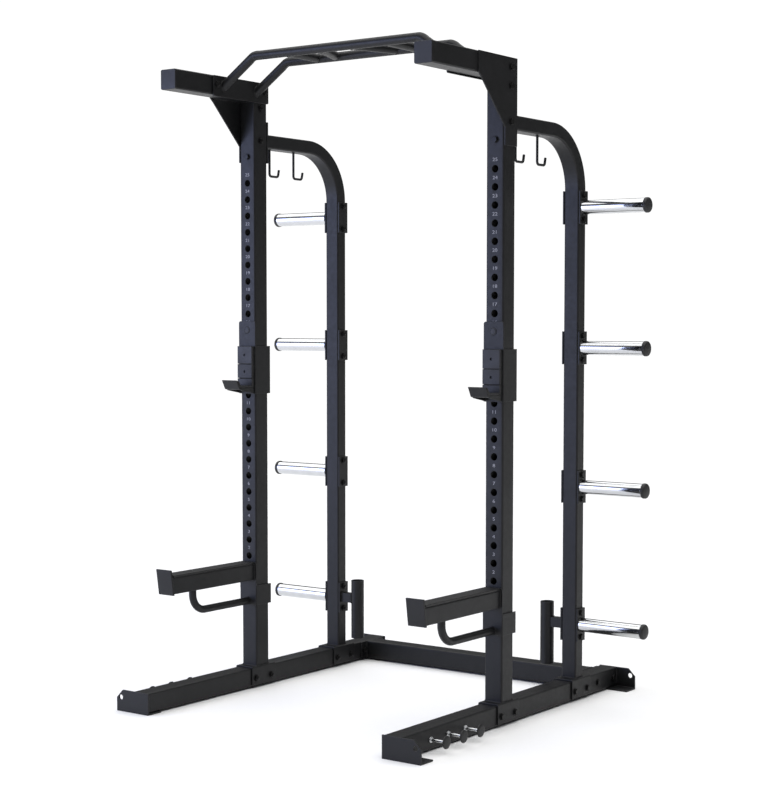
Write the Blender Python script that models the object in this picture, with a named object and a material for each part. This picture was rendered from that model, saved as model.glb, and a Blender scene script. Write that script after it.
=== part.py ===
"""Half rack with plate storage: two perforated front uprights, two bent rear uprights,
a bolted base, top arms with a pull-up bar, sliding bar cups and safety arms.
Metres, +Z up, front of the rack towards -Y, resting on Z = 0."""

import math

import bmesh
import bpy
from mathutils import Matrix, Vector

# general fits
GAP = 0.0003                # clearance between neighbouring pieces
SLIDE_GAP = 0.0005          # clearance of a sliding bracket on its upright
OVERLAP = 0.001             # how far welded members run into one another
PLATE = 0.006               # thickness of the foot plates
BOLT_FLATS = 0.019          # hexagon head across flats
BOLT_HEAD = 0.008           # hexagon head height

# overall layout
UPRIGHT_HALF_SPACING = 0.545
UPRIGHT_TOP = 2.240         # top face of the arms
BEAM_FRONT = -0.575         # front face of the front foot plates
BEAM_REAR = 0.795           # rear face of the rear foot plates

# square tube
TUBE = 0.070
WALL = 0.003
CORNER = 0.006
CORNER_SEGMENTS = 3

# adjustment holes
HOLE_PITCH = 0.060
HOLES_END_DROP = 0.331      # no adjustment hole above this far below the arm top
FIRST_HOLE = 0.433
HOLE_DIAMETER = 0.025
HOLE_SEGMENTS = 12
PIN_CLEARANCE = 0.0015      # locating pins smaller than the holes
PIN_REACH = 0.012           # how far a locating pin enters the upright
CUP_HOLE = 16               # hole number the bar cups rest in
ARM_HOLE = 1                # hole number the safety arms rest in

# base
EAR_REACH = 0.112           # ear edge from the beam centre line
EAR_CHAMFER = 0.028
EAR_HOLE = 0.018
EAR_HOLE_REACH = 0.092
EAR_HOLE_HEIGHT = 0.050
FOOT_LENGTH = 0.066
FOOT_MARGIN = 0.004         # foot plate inboard of the beam side
CROSSBAR_Y = 0.705
CROSSBAR_FLANGE = 0.140
CROSSBAR_BOLT_SPACING = 0.110
SADDLE_LENGTH = 0.130
SADDLE_PLATE = 0.005
SADDLE_DROP = 0.064         # depth of the side plates below the beam top
SADDLE_BOLT_SPACING = 0.085
SADDLE_BOLT_LOWER = 0.004   # saddle bolts below the beam centre line

# rear uprights
REAR_WIDTH = 0.060
REAR_DEPTH = 0.050
REAR_Y = 0.522
BEND_RADIUS = 0.195
BEND_SEGMENTS = 12
REAR_TOP_DROP = 0.210       # centre line of the level run below the arm top
BEND_FLANGE = 0.008
BEND_FLANGE_TOP_DROP = 0.140
BEND_FLANGE_BOTTOM_DROP = 0.291
BEND_BOLT_DROP = 0.271

# top arms
ARM_REACH = 0.413
GUSSET = 0.005
GUSSET_FRONT = 0.158
GUSSET_LOW_DROP = 0.232      # lower end of the slope below the arm top
GUSSET_BOTTOM_DROP = 0.291
GUSSET_BEHIND = 0.003       # gusset past the back of the upright
GUSSET_ARM_BOLT = 0.031     # bolt in the arm below the arm top
GUSSET_BOLT_DROPS = (0.024, 0.142)  # bolts in the upright below the arm
GUSSET_NOSE_BACK = 0.016    # front lower corner of the gusset, behind its front edge
GUSSET_NOSE_DROP = 0.014    # and below the arm

# pull-up bar
BAR_DIAMETER = 0.032
BAR_FRONT_Y = -0.168
BAR_REAR_Y = 0.012
BAR_RISE = 0.060            # bar centre above the arm top
BAR_BEND_RUN = 0.1414       # bend inboard of the end plates
BAR_BEND_RADIUS = 0.050
BAR_SEGMENTS = 16
GRIP_OUTER_X = 0.213
GRIP_INNER_FRONT_X = 0.066
GRIP_INNER_REAR_X = 0.135
BAR_PLATE = 0.006
BAR_PLATE_FRONT = -0.225
BAR_PLATE_BEHIND = 0.003    # end plate past the back of the upright
BAR_PLATE_TALLER = 0.004    # end plate taller than the arm
BAR_BOLTS_Y = (-0.206, 0.052)
BAR_PLATE_DROP = 0.001      # bar plate below the arm top
GRIP_SLIMMER = 0.002        # cross grips thinner than the bars

# bar cups
CUP_PLATE = 0.006
CUP_SIDE = 0.005
CUP_TOP = 0.033             # tongue above the pin centre
CUP_SHOULDER = 0.059        # top of the side plates below the pin centre
CUP_BOTTOM = 0.235
CUP_WRAP_PAST = 0.007       # side plates past the back of the upright
CUP_REACH = 0.107
CUP_SHELF_DROP = 0.211      # shelf top below the pin centre
CUP_SHELF = 0.007
CUP_LIP = 0.028
CUP_LIP_PLATE = 0.006
CUP_LIP_LEAN = 0.018        # how far the lip flares forward above the shelf
CUP_RIB_REACH = 0.078
CUP_PAD = 0.014
CUP_PAD_FLOOR = 0.007
CUP_PAD_LIP = 0.005
PAD_GROOVE = 0.002
PAD_GROOVE_DROPS = (0.125, 0.178)
PAD_SCREW_DROPS = (0.092, 0.153)
PAD_SCREW = 0.010
PAD_SCREW_DEPTH = 0.004

# safety arms
SAFETY_TUBE = 0.060
SAFETY_REACH = 0.438
SAFETY_CENTRE = 0.001       # tube centre above the pin centre
SAFETY_PLATE_TOP = 0.038
SAFETY_CORNER = 0.005       # rounding of the arm tube
SAFETY_U_TOP = 0.049        # top of the wrap below the pin centre
SAFETY_U_BOTTOM = 0.122
SAFETY_PAD = 0.008
STOP_PLATE = 0.008
STOP_TOP = 0.059
STOP_BOTTOM = 0.032
STOP_LEAN = 0.013
BRACE_DIAMETER = 0.027
BRACE_Y = 0.306
BRACE_DROP = 0.108          # brace centre line below the pin centre
BRACE_BEND = 0.062
VENT_HOLE = 0.008

# plate storage
PEG_DIAMETER = 0.050
PEG_END_LARGER = 0.004      # wider end over the peg
PEG_LENGTH = 0.265
PEG_CAP = 0.016             # length of the wider end
PEG_DOME = 0.007            # how far the end is rounded off
PEG_SEGMENTS = 20
PEG_LOW = 0.274
PEG_TOP_BELOW_BEND = 0.0631 # top peg below the foot of the bend
PEG_COUNT = 4
PEG_PLATE = 0.006
PEG_PLATE_HEIGHT = 0.118
PEG_BOLT_SPACING = 0.088

# upright bar holders
HOLDER_DIAMETER = 0.050
HOLDER_WALL = 0.003
HOLDER_BOTTOM = 0.118
HOLDER_TOP = 0.347
HOLDER_OFFSET = 0.107       # holder centre inboard of the upright centre
HOLDER_FLOOR = 0.004
STUB_WIDTH = 0.030
STUB_HEIGHT = 0.036
HOLDER_SEGMENTS = 24

# band pegs
BAND_PEG_Y = (-0.415, -0.318, -0.221)
BAND_PEG_LOWER = 0.0023     # band pegs below the beam centre line
BAND_PEG_DIAMETER = 0.010
BAND_PEG_LENGTH = 0.066
BAND_PEG_HEAD = 0.043
BAND_PEG_RIM = 0.006        # thickness of the head
BAND_PEG_COLLAR = 0.020     # collar diameter at the root
BAND_PEG_COLLAR_LENGTH = 0.004
BAND_PEG_SEGMENTS = 12

# accessory hooks
HOOK_Y = (0.125, 0.264)
HOOK_DIAMETER = 0.009
HOOK_DROP = 0.098
HOOK_WIDTH = 0.048
HOOK_TIP = 0.027
HOOK_BEND = 0.010
HOOK_FLARE = 0.006          # how far the tip leans away from the shank

# derived heights
BEAM_BOTTOM = PLATE + GAP
BEAM_TOP = BEAM_BOTTOM + TUBE
SADDLE_TOP = BEAM_TOP + GAP + SADDLE_PLATE
ARM_BOTTOM = UPRIGHT_TOP - TUBE
UPRIGHT_BOLTS = tuple(ARM_BOTTOM - drop for drop in GUSSET_BOLT_DROPS)
GUSSET_BOLTS = (UPRIGHT_TOP - GUSSET_ARM_BOLT, *UPRIGHT_BOLTS)
BEND_FLANGE_TOP = UPRIGHT_TOP - BEND_FLANGE_TOP_DROP
BEND_FLANGE_BOTTOM = UPRIGHT_TOP - BEND_FLANGE_BOTTOM_DROP
BEND_BOLT_Z = UPRIGHT_TOP - BEND_BOLT_DROP
REAR_TOP = UPRIGHT_TOP - REAR_TOP_DROP
GUSSET_LOW = UPRIGHT_TOP - GUSSET_LOW_DROP
GUSSET_BOTTOM = UPRIGHT_TOP - GUSSET_BOTTOM_DROP
BAR_Z = UPRIGHT_TOP + BAR_RISE
BAR_ROOT_Z = UPRIGHT_TOP - TUBE / 2
BAND_PEG_Z = BEAM_BOTTOM + TUBE / 2 - BAND_PEG_LOWER
PEG_TOP = REAR_TOP - BEND_RADIUS - PEG_TOP_BELOW_BEND
PEG_SPACING = (PEG_TOP - PEG_LOW) / (PEG_COUNT - 1)
HOLE_COUNT = int((UPRIGHT_TOP - HOLES_END_DROP - FIRST_HOLE) / HOLE_PITCH) + 1
CUP_PIN_Z = FIRST_HOLE + (CUP_HOLE - 1) * HOLE_PITCH
SAFETY_PIN_Z = FIRST_HOLE + (ARM_HOLE - 1) * HOLE_PITCH

# derived widths, depths and diameters
PIN_DIAMETER = HOLE_DIAMETER - PIN_CLEARANCE
PEG_END_DIAMETER = PEG_DIAMETER + PEG_END_LARGER
HOLDER_BORE = HOLDER_DIAMETER - 2 * HOLDER_WALL
CUP_WRAP = TUBE + CUP_WRAP_PAST
GUSSET_REAR = TUBE + GUSSET_BEHIND
BAR_PLATE_REAR = TUBE + BAR_PLATE_BEHIND
BAR_PLATE_HEIGHT = TUBE + BAR_PLATE_TALLER
BAR_BEND_X = UPRIGHT_HALF_SPACING - TUBE / 2 - GAP - BAR_PLATE - GAP - BAR_BEND_RUN
FOOTPRINT_MIDDLE = (BEAM_FRONT + BEAM_REAR) / 2

POWDER = ("powder_coat", (0.030, 0.031, 0.036), 0.55, 0.0)
CHROME = ("chrome", (0.80, 0.81, 0.82), 0.12, 1.0)
ZINC = ("zinc", (0.62, 0.63, 0.64), 0.30, 1.0)
PLASTIC = ("liner_plastic", (0.045, 0.045, 0.050), 0.60, 0.0)


def material(spec, node):
    """Gives each piece its own Principled material."""
    name, colour, roughness, metallic = spec
    made = bpy.data.materials.new(name + "_" + node)
    made.use_nodes = True
    shader = made.node_tree.nodes["Principled BSDF"]
    shader.inputs["Base Color"].default_value = (*colour, 1.0)
    shader.inputs["Roughness"].default_value = roughness
    shader.inputs["Metallic"].default_value = metallic
    made.diffuse_color = (*colour, 1.0)
    return made


def wrap(name, bm):
    """Turns a bmesh into an object with outward normals."""
    bmesh.ops.recalc_face_normals(bm, faces=bm.faces)
    mesh = bpy.data.meshes.new(name)
    bm.to_mesh(mesh)
    bm.free()
    made = bpy.data.objects.new(name, mesh)
    bpy.context.scene.collection.objects.link(made)
    return made


def block(x0, x1, y0, y1, z0, z1):
    """A plain rectangular block between the given limits."""
    bm = bmesh.new()
    bmesh.ops.create_cube(bm, size=1.0)
    size = Vector((abs(x1 - x0), abs(y1 - y0), abs(z1 - z0)))
    centre = Vector((x0 + x1, y0 + y1, z0 + z1)) / 2
    bmesh.ops.scale(bm, vec=size, verts=bm.verts)
    bmesh.ops.translate(bm, vec=centre, verts=bm.verts)
    return wrap("block", bm)


def bar(x0, x1, y0, y1, z0, z1, along, radius):
    """A block whose long edges, the ones along the given axis, are rounded."""
    bm = bmesh.new()
    bmesh.ops.create_cube(bm, size=1.0)
    size = Vector((abs(x1 - x0), abs(y1 - y0), abs(z1 - z0)))
    centre = Vector((x0 + x1, y0 + y1, z0 + z1)) / 2
    bmesh.ops.scale(bm, vec=size, verts=bm.verts)
    bmesh.ops.translate(bm, vec=centre, verts=bm.verts)
    long_edges = []
    for edge in bm.edges:
        run = edge.verts[1].co - edge.verts[0].co
        if abs(run["xyz".index(along)]) > 0.5 * run.length:
            long_edges.append(edge)
    bmesh.ops.bevel(
        bm,
        geom=long_edges,
        offset=radius,
        segments=CORNER_SEGMENTS,
        profile=0.5,
        affect="EDGES",
        offset_type="OFFSET",
    )
    return wrap("bar", bm)


def cylinder(centre, axis, diameter, length, segments):
    """A round bar centred on a point, along x, y or z."""
    bm = bmesh.new()
    bmesh.ops.create_cone(
        bm,
        cap_ends=True,
        segments=segments,
        radius1=diameter / 2,
        radius2=diameter / 2,
        depth=length,
    )
    if axis == "x":
        bmesh.ops.rotate(bm, matrix=Matrix.Rotation(math.pi / 2, 3, "Y"), verts=bm.verts)
    if axis == "y":
        bmesh.ops.rotate(bm, matrix=Matrix.Rotation(math.pi / 2, 3, "X"), verts=bm.verts)
    bmesh.ops.translate(bm, vec=Vector(centre), verts=bm.verts)
    return wrap("cylinder", bm)


def side_plate(outline, x0, x1):
    """A flat plate with a Y-Z outline, extruded from x0 to x1."""
    bm = bmesh.new()
    corners = [bm.verts.new((x0, y, z)) for y, z in outline]
    face = bm.faces.new(corners)
    grown = bmesh.ops.extrude_face_region(bm, geom=[face], use_keep_orig=True)
    moved = [item for item in grown["geom"] if isinstance(item, bmesh.types.BMVert)]
    bmesh.ops.translate(bm, vec=(x1 - x0, 0, 0), verts=moved)
    return wrap("plate", bm)


def bolt_head(centre, axis, direction):
    """A hexagon head standing on a face, sunk a little into it."""
    height = BOLT_HEAD + OVERLAP
    shift = (BOLT_HEAD - OVERLAP) / 2 * direction
    place = Vector(centre)
    place["xyz".index(axis)] += shift
    return cylinder(place, axis, BOLT_FLATS / math.cos(math.pi / 6), height, 6)


def combine(base, others, operation):
    """Applies Boolean operations of one kind and removes the operands."""
    for other in others:
        modifier = base.modifiers.new("join", "BOOLEAN")
        modifier.operation = operation
        modifier.solver = "EXACT"
        modifier.object = other
    graph = bpy.context.evaluated_depsgraph_get()
    graph.update()
    mesh = bpy.data.meshes.new_from_object(base.evaluated_get(graph))
    base.modifiers.clear()
    base.data = mesh
    for other in others:
        bpy.data.objects.remove(other)
    return base


def union(base, *others):
    return combine(base, others, "UNION")


def cut(base, *others):
    return combine(base, others, "DIFFERENCE")


def carry(bm, ring, step):
    """Extrudes an open ring of edges by a straight step and returns the new ring."""
    grown = bmesh.ops.extrude_edge_only(bm, edges=ring)["geom"]
    verts = {item for item in grown if isinstance(item, bmesh.types.BMVert)}
    bmesh.ops.translate(bm, vec=step, verts=list(verts))
    edges = [item for item in grown if isinstance(item, bmesh.types.BMEdge)]
    return [edge for edge in edges if set(edge.verts) <= verts]


def rod(corners, diameter, bend, segments, bend_segments):
    """A solid round rod along a polyline with rounded corners."""
    corners = [Vector(corner) for corner in corners]
    at = corners[0]
    heading = (corners[1] - at).normalized()
    aim = Vector((0, 0, 1)).rotation_difference(heading).to_matrix().to_4x4()
    bm = bmesh.new()
    made = bmesh.ops.create_circle(
        bm,
        cap_ends=True,
        segments=segments,
        radius=diameter / 2,
        matrix=Matrix.Translation(at) @ aim,
    )
    ring = list({edge for vert in made["verts"] for edge in vert.link_edges})
    for corner, after in zip(corners[1:], corners[2:]):
        leave = (after - corner).normalized()
        turn = heading.angle(leave)
        axis = heading.cross(leave).normalized()
        start = corner - heading * bend * math.tan(turn / 2)
        ring = carry(bm, ring, start - at)
        spun = bmesh.ops.spin(
            bm,
            geom=ring,
            cent=start + axis.cross(heading) * bend,
            axis=axis,
            angle=turn,
            steps=bend_segments,
            use_merge=False,
        )
        ring = [item for item in spun["geom_last"] if isinstance(item, bmesh.types.BMEdge)]
        heading = leave
        at = corner + leave * bend * math.tan(turn / 2)
    ring = carry(bm, ring, corners[-1] - at)
    bmesh.ops.edgeloop_fill(bm, edges=ring)
    return wrap("rod", bm)


def finish(made, name, spec, origin=None, smooth=True):
    """Names a piece, centres it over the footprint and sets its material and origin."""
    made.name = name
    made.data.name = name
    made.data.materials.clear()
    made.data.materials.append(material(spec, name))
    middle = Vector((0.0, FOOTPRINT_MIDDLE, 0.0))
    pivot = middle if origin is None else Vector(origin)
    made.data.transform(Matrix.Translation(-pivot))
    made.location = pivot - middle
    if smooth:
        made.data.set_sharp_from_angle(angle=math.radians(32))
        made.data.shade_smooth()
    return made


def box_tube(x, y, z, size_a, size_b, start, end, along, closed_start=False):
    """A hollow tube with rounded corners; x, y or z may be None for the run direction."""
    radius = CORNER
    half_a = size_a / 2
    half_b = size_b / 2
    inner_start = start + WALL if closed_start else start - OVERLAP
    inner_end = end + OVERLAP
    if along == "x":
        outer = bar(start, end, y - half_a, y + half_a, z - half_b, z + half_b, "x", radius)
        limits = (y - half_a + WALL, y + half_a - WALL, z - half_b + WALL, z + half_b - WALL)
        inner = bar(inner_start, inner_end, *limits, "x", radius - WALL)
    if along == "y":
        outer = bar(x - half_a, x + half_a, start, end, z - half_b, z + half_b, "y", radius)
        inner = bar(
            x - half_a + WALL,
            x + half_a - WALL,
            inner_start,
            inner_end,
            z - half_b + WALL,
            z + half_b - WALL,
            "y",
            radius - WALL,
        )
    if along == "z":
        outer = bar(x - half_a, x + half_a, y - half_b, y + half_b, start, end, "z", radius)
        limits = (x - half_a + WALL, x + half_a - WALL, y - half_b + WALL, y + half_b - WALL)
        inner = bar(*limits, inner_start, inner_end, "z", radius - WALL)
    return cut(outer, inner)


def foot(side, front):
    """Foot plate at one end of a beam: upright ear plate and a short floor plate."""
    centre = side * UPRIGHT_HALF_SPACING
    inner = centre - side * (TUBE / 2 + FOOT_MARGIN)
    outer = centre + side * EAR_REACH
    top = BEAM_TOP
    face = BEAM_FRONT if front else BEAM_REAR - PLATE
    inward = 1 if front else -1
    edge = BEAM_FRONT if front else BEAM_REAR
    bm = bmesh.new()
    outline = (
        (inner, 0.0),
        (outer, 0.0),
        (outer, top - EAR_CHAMFER),
        (outer - side * EAR_CHAMFER, top),
        (inner, top),
    )
    corners = [bm.verts.new((x, face, z)) for x, z in outline]
    flat = bm.faces.new(corners)
    grown = bmesh.ops.extrude_face_region(bm, geom=[flat], use_keep_orig=True)
    moved = [item for item in grown["geom"] if isinstance(item, bmesh.types.BMVert)]
    bmesh.ops.translate(bm, vec=(0, PLATE, 0), verts=moved)
    plate = wrap("plate", bm)
    near = edge + inward * OVERLAP
    floor = block(inner, outer, near, edge + inward * FOOT_LENGTH, 0.0, PLATE)
    hole_x = centre + side * EAR_HOLE_REACH
    hole = cylinder((hole_x, face + PLATE / 2, EAR_HOLE_HEIGHT), "y", EAR_HOLE, 0.03, 20)
    return cut(union(plate, floor), hole)


def saddle(side, y):
    """Inverted U welded under an upright, straddling the beam and bolted to it."""
    x = side * UPRIGHT_HALF_SPACING
    inner = TUBE / 2 + GAP
    outer = inner + SADDLE_PLATE
    y0 = y - SADDLE_LENGTH / 2
    y1 = y + SADDLE_LENGTH / 2
    body = block(x - outer, x + outer, y0, y1, BEAM_TOP - SADDLE_DROP, SADDLE_TOP)
    slot = block(x - inner, x + inner, y0 - 0.01, y1 + 0.01, 0.0, BEAM_TOP + GAP)
    cut(body, slot)
    heads = []
    for end in (-1, 1):
        bolt_y = y + end * SADDLE_BOLT_SPACING / 2
        bolt_z = BEAM_BOTTOM + TUBE / 2 - SADDLE_BOLT_LOWER
        heads.append(bolt_head((x + outer, bolt_y, bolt_z), "x", 1))
        heads.append(bolt_head((x - outer, bolt_y, bolt_z), "x", -1))
    return union(body, *heads)


def front_upright(side):
    x = side * UPRIGHT_HALF_SPACING
    y = TUBE / 2
    tube = box_tube(x, y, None, TUBE, TUBE, SADDLE_TOP + GAP, ARM_BOTTOM - GAP, "z")
    drills = bmesh.new()
    for number in range(HOLE_COUNT):
        z = FIRST_HOLE + number * HOLE_PITCH
        turned = Matrix.Translation((x, y, z)) @ Matrix.Rotation(math.pi / 2, 4, "X")
        bmesh.ops.create_cone(
            drills,
            cap_ends=True,
            segments=HOLE_SEGMENTS,
            radius1=HOLE_DIAMETER / 2,
            radius2=HOLE_DIAMETER / 2,
            depth=TUBE + 0.02,
            matrix=turned,
        )
    heads = [bolt_head((x, 0.0, BEND_BOLT_Z), "y", -1)]
    for level in UPRIGHT_BOLTS:
        heads.append(bolt_head((x - side * TUBE / 2, y, level), "x", -side))
    return cut(union(tube, *heads), wrap("drills", drills))


def rear_upright(side):
    """Bent rear upright with its bolting flange at the front upright."""
    x = side * UPRIGHT_HALF_SPACING
    flange_front = TUBE + GAP
    flange_rear = flange_front + BEND_FLANGE
    bend_start = REAR_Y - BEND_RADIUS
    parts = []
    for inset in (0.0, WALL):
        bm = bmesh.new()
        half_w = REAR_WIDTH / 2 - inset
        half_d = REAR_DEPTH / 2 - inset
        first = flange_rear - OVERLAP if inset == 0.0 else flange_rear + OVERLAP
        last = SADDLE_TOP + GAP if inset == 0.0 else SADDLE_TOP - OVERLAP
        radius = CORNER - inset
        section = bar(
            x - half_w,
            x + half_w,
            first,
            bend_start,
            REAR_TOP - half_d,
            REAR_TOP + half_d,
            "y",
            radius,
        )
        bm.from_mesh(section.data)
        bpy.data.objects.remove(section)
        bm.faces.ensure_lookup_table()
        end = [f for f in bm.faces if f.calc_center_median().y > bend_start - 0.0001]
        spun = bmesh.ops.spin(
            bm,
            geom=end,
            cent=(x, bend_start, REAR_TOP - BEND_RADIUS),
            axis=(-1, 0, 0),
            dvec=(0, 0, 0),
            angle=math.pi / 2,
            steps=BEND_SEGMENTS,
            use_merge=False,
            use_duplicate=False,
        )
        tail = [item for item in spun["geom_last"] if isinstance(item, bmesh.types.BMFace)]
        dropped = bmesh.ops.extrude_face_region(bm, geom=tail)
        low = [item for item in dropped["geom"] if isinstance(item, bmesh.types.BMVert)]
        bend_foot = REAR_TOP - BEND_RADIUS
        bmesh.ops.translate(bm, vec=(0, 0, last - bend_foot), verts=low)
        bmesh.ops.delete(bm, geom=end + tail, context="FACES_ONLY")
        parts.append(wrap("run", bm))
    tube, hollow = parts
    half = TUBE / 2
    flange = block(
        x - half,
        x + half,
        flange_front,
        flange_rear,
        BEND_FLANGE_BOTTOM,
        BEND_FLANGE_TOP,
    )
    nut = bolt_head((x, flange_rear, BEND_BOLT_Z), "y", 1)
    joined = union(tube, flange, nut)
    return cut(joined, hollow)


def top_arm(side):
    x = side * UPRIGHT_HALF_SPACING
    z = ARM_BOTTOM + TUBE / 2
    return box_tube(x, None, z, TUBE, TUBE, -ARM_REACH, TUBE, "y", closed_start=True)


def gusset(side):
    """Side plate that ties an arm to its upright on the outer side."""
    outline = (
        (GUSSET_REAR, UPRIGHT_TOP),
        (-GUSSET_FRONT, UPRIGHT_TOP),
        (-GUSSET_FRONT, ARM_BOTTOM),
        (-GUSSET_FRONT + GUSSET_NOSE_BACK, ARM_BOTTOM - GUSSET_NOSE_DROP),
        (0.0, GUSSET_LOW),
        (0.0, GUSSET_BOTTOM),
        (GUSSET_REAR, GUSSET_BOTTOM),
    )
    near = side * (UPRIGHT_HALF_SPACING + TUBE / 2 + GAP)
    far = near + side * GUSSET
    plate = side_plate(outline, near, far)
    heads = [bolt_head((far, TUBE / 2, z), "x", side) for z in GUSSET_BOLTS]
    return union(plate, *heads)


def pull_up_bar():
    """Two bent bars, their ends cut flat for the plates, joined by cross grips."""
    inner = BAR_BEND_X + BAR_BEND_RUN
    fall = (BAR_ROOT_Z - BAR_Z) / BAR_BEND_RUN
    bars = []
    for y in (BAR_FRONT_Y, BAR_REAR_Y):
        corners = (
            (-inner, y, BAR_ROOT_Z),
            (-BAR_BEND_X, y, BAR_Z),
            (BAR_BEND_X, y, BAR_Z),
            (inner, y, BAR_ROOT_Z),
        )
        made = rod(corners, BAR_DIAMETER, BAR_BEND_RADIUS, BAR_SEGMENTS, 5)
        for vert in made.data.vertices:
            if abs(vert.co.x) > inner - BAR_DIAMETER:
                vert.co.z += (inner - abs(vert.co.x)) * fall
                vert.co.x = math.copysign(inner, vert.co.x)
        bars.append(made)
    grips = []
    for side in (-1, 1):
        pairs = (
            (GRIP_OUTER_X, GRIP_OUTER_X),
            (GRIP_INNER_FRONT_X, GRIP_INNER_REAR_X),
        )
        for front_x, rear_x in pairs:
            ends = (
                (side * front_x, BAR_FRONT_Y, BAR_Z),
                (side * rear_x, BAR_REAR_Y, BAR_Z),
            )
            grips.append(rod(ends, BAR_DIAMETER - GRIP_SLIMMER, 0.01, BAR_SEGMENTS, 1))
    return union(bars[0], bars[1], *grips)


def bar_plate(side):
    """End plate of the pull-up bar, bolted to the inner face of an arm."""
    near = side * (UPRIGHT_HALF_SPACING - TUBE / 2 - GAP)
    far = near - side * BAR_PLATE
    top = UPRIGHT_TOP - BAR_PLATE_DROP
    bottom = top - BAR_PLATE_HEIGHT
    plate = block(near, far, BAR_PLATE_FRONT, BAR_PLATE_REAR, bottom, top)
    heads = [bolt_head((far, y, BAR_ROOT_Z + 0.002), "x", -side) for y in BAR_BOLTS_Y]
    return union(plate, *heads)


def pin(x, z):
    """Locating pin through the front wall of an upright, with a raised outer face."""
    front = -SLIDE_GAP - CUP_PLATE - 0.002
    length = PIN_REACH - front
    return cylinder((x, (PIN_REACH + front) / 2, z), "y", PIN_DIAMETER, length, 20)


def wrap_bracket(x, z_bottom, z_shoulder, z_top):
    """U bracket round the front and sides of an upright with a taller front tongue."""
    inner = TUBE / 2 + SLIDE_GAP
    outer = inner + CUP_SIDE
    front = -SLIDE_GAP - CUP_PLATE
    body = block(x - outer, x + outer, front, CUP_WRAP, z_bottom, z_shoulder)
    slot = block(x - inner, x + inner, -SLIDE_GAP, CUP_WRAP + 0.01, z_bottom - 0.01, z_top)
    cut(body, slot)
    low = z_shoulder - 0.02
    tongue = block(x - outer + 0.001, x + outer - 0.001, front, -SLIDE_GAP, low, z_top)
    return union(body, tongue)


def bar_cup(side):
    x = side * UPRIGHT_HALF_SPACING
    z = CUP_PIN_Z
    body = wrap_bracket(x, z - CUP_BOTTOM, z - CUP_SHOULDER, z + CUP_TOP)
    front = -SLIDE_GAP - CUP_PLATE
    half = TUBE / 2
    shelf_top = z - CUP_SHELF_DROP
    shelf_bottom = shelf_top - CUP_SHELF
    foot_y = -CUP_REACH + CUP_LIP_LEAN
    shelf = block(x - half, x + half, foot_y + OVERLAP, front + OVERLAP, shelf_bottom, shelf_top)
    lip_outline = (
        (foot_y, shelf_bottom),
        (foot_y + CUP_LIP_PLATE, shelf_bottom),
        (-CUP_REACH + CUP_LIP_PLATE, shelf_top + CUP_LIP),
        (-CUP_REACH, shelf_top + CUP_LIP),
    )
    lip = side_plate(lip_outline, x - half, x + half)
    rib_top = shelf_bottom + OVERLAP
    outline = (
        (front + OVERLAP, rib_top),
        (-CUP_RIB_REACH, rib_top),
        (-CUP_RIB_REACH, shelf_bottom - 0.003),
        (front + OVERLAP, z - CUP_BOTTOM + 0.001),
    )
    ribs = [side_plate(outline, x + e * half, x + e * (half - CUP_SIDE)) for e in (-1, 1)]
    return union(body, shelf, lip, *ribs, pin(x, z))


def cup_pad(side):
    """Plastic lining of a bar cup: grooved back pad, floor and lip lining in one piece."""
    x = side * UPRIGHT_HALF_SPACING
    z = CUP_PIN_Z
    front = -SLIDE_GAP - CUP_PLATE - GAP
    half = TUBE / 2
    floor_z = z - CUP_SHELF_DROP + GAP
    lip_y = -CUP_REACH + CUP_LIP_LEAN + CUP_LIP_PLATE + GAP
    lip_top = z - CUP_SHELF_DROP + CUP_LIP - 0.002
    rise = lip_top - floor_z
    lean = CUP_LIP_LEAN * rise / (CUP_SHELF + CUP_LIP)
    back = block(x - half, x + half, front - CUP_PAD, front, floor_z, z - CUP_SHOULDER)
    floor = block(
        x - half + 0.001,
        x + half - 0.001,
        lip_y,
        front - OVERLAP,
        floor_z,
        floor_z + CUP_PAD_FLOOR,
    )
    lip_outline = (
        (lip_y, floor_z),
        (lip_y + CUP_PAD_LIP, floor_z),
        (lip_y - lean + CUP_PAD_LIP, lip_top),
        (lip_y - lean, lip_top),
    )
    lip = side_plate(lip_outline, x - half + 0.001, x + half - 0.001)
    made = union(back, floor, lip)
    face = front - CUP_PAD
    cutters = []
    for drop in PAD_GROOVE_DROPS:
        level = z - drop
        cutters.append(
            block(
                x - half - 0.01,
                x + half + 0.01,
                face - 0.01,
                face + PAD_GROOVE,
                level - PAD_GROOVE / 2,
                level + PAD_GROOVE / 2,
            )
        )
    for drop in PAD_SCREW_DROPS:
        centre = (x, face, z - drop)
        cutters.append(cylinder(centre, "y", PAD_SCREW, PAD_SCREW_DEPTH * 2, 16))
    return cut(made, *cutters)


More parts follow.
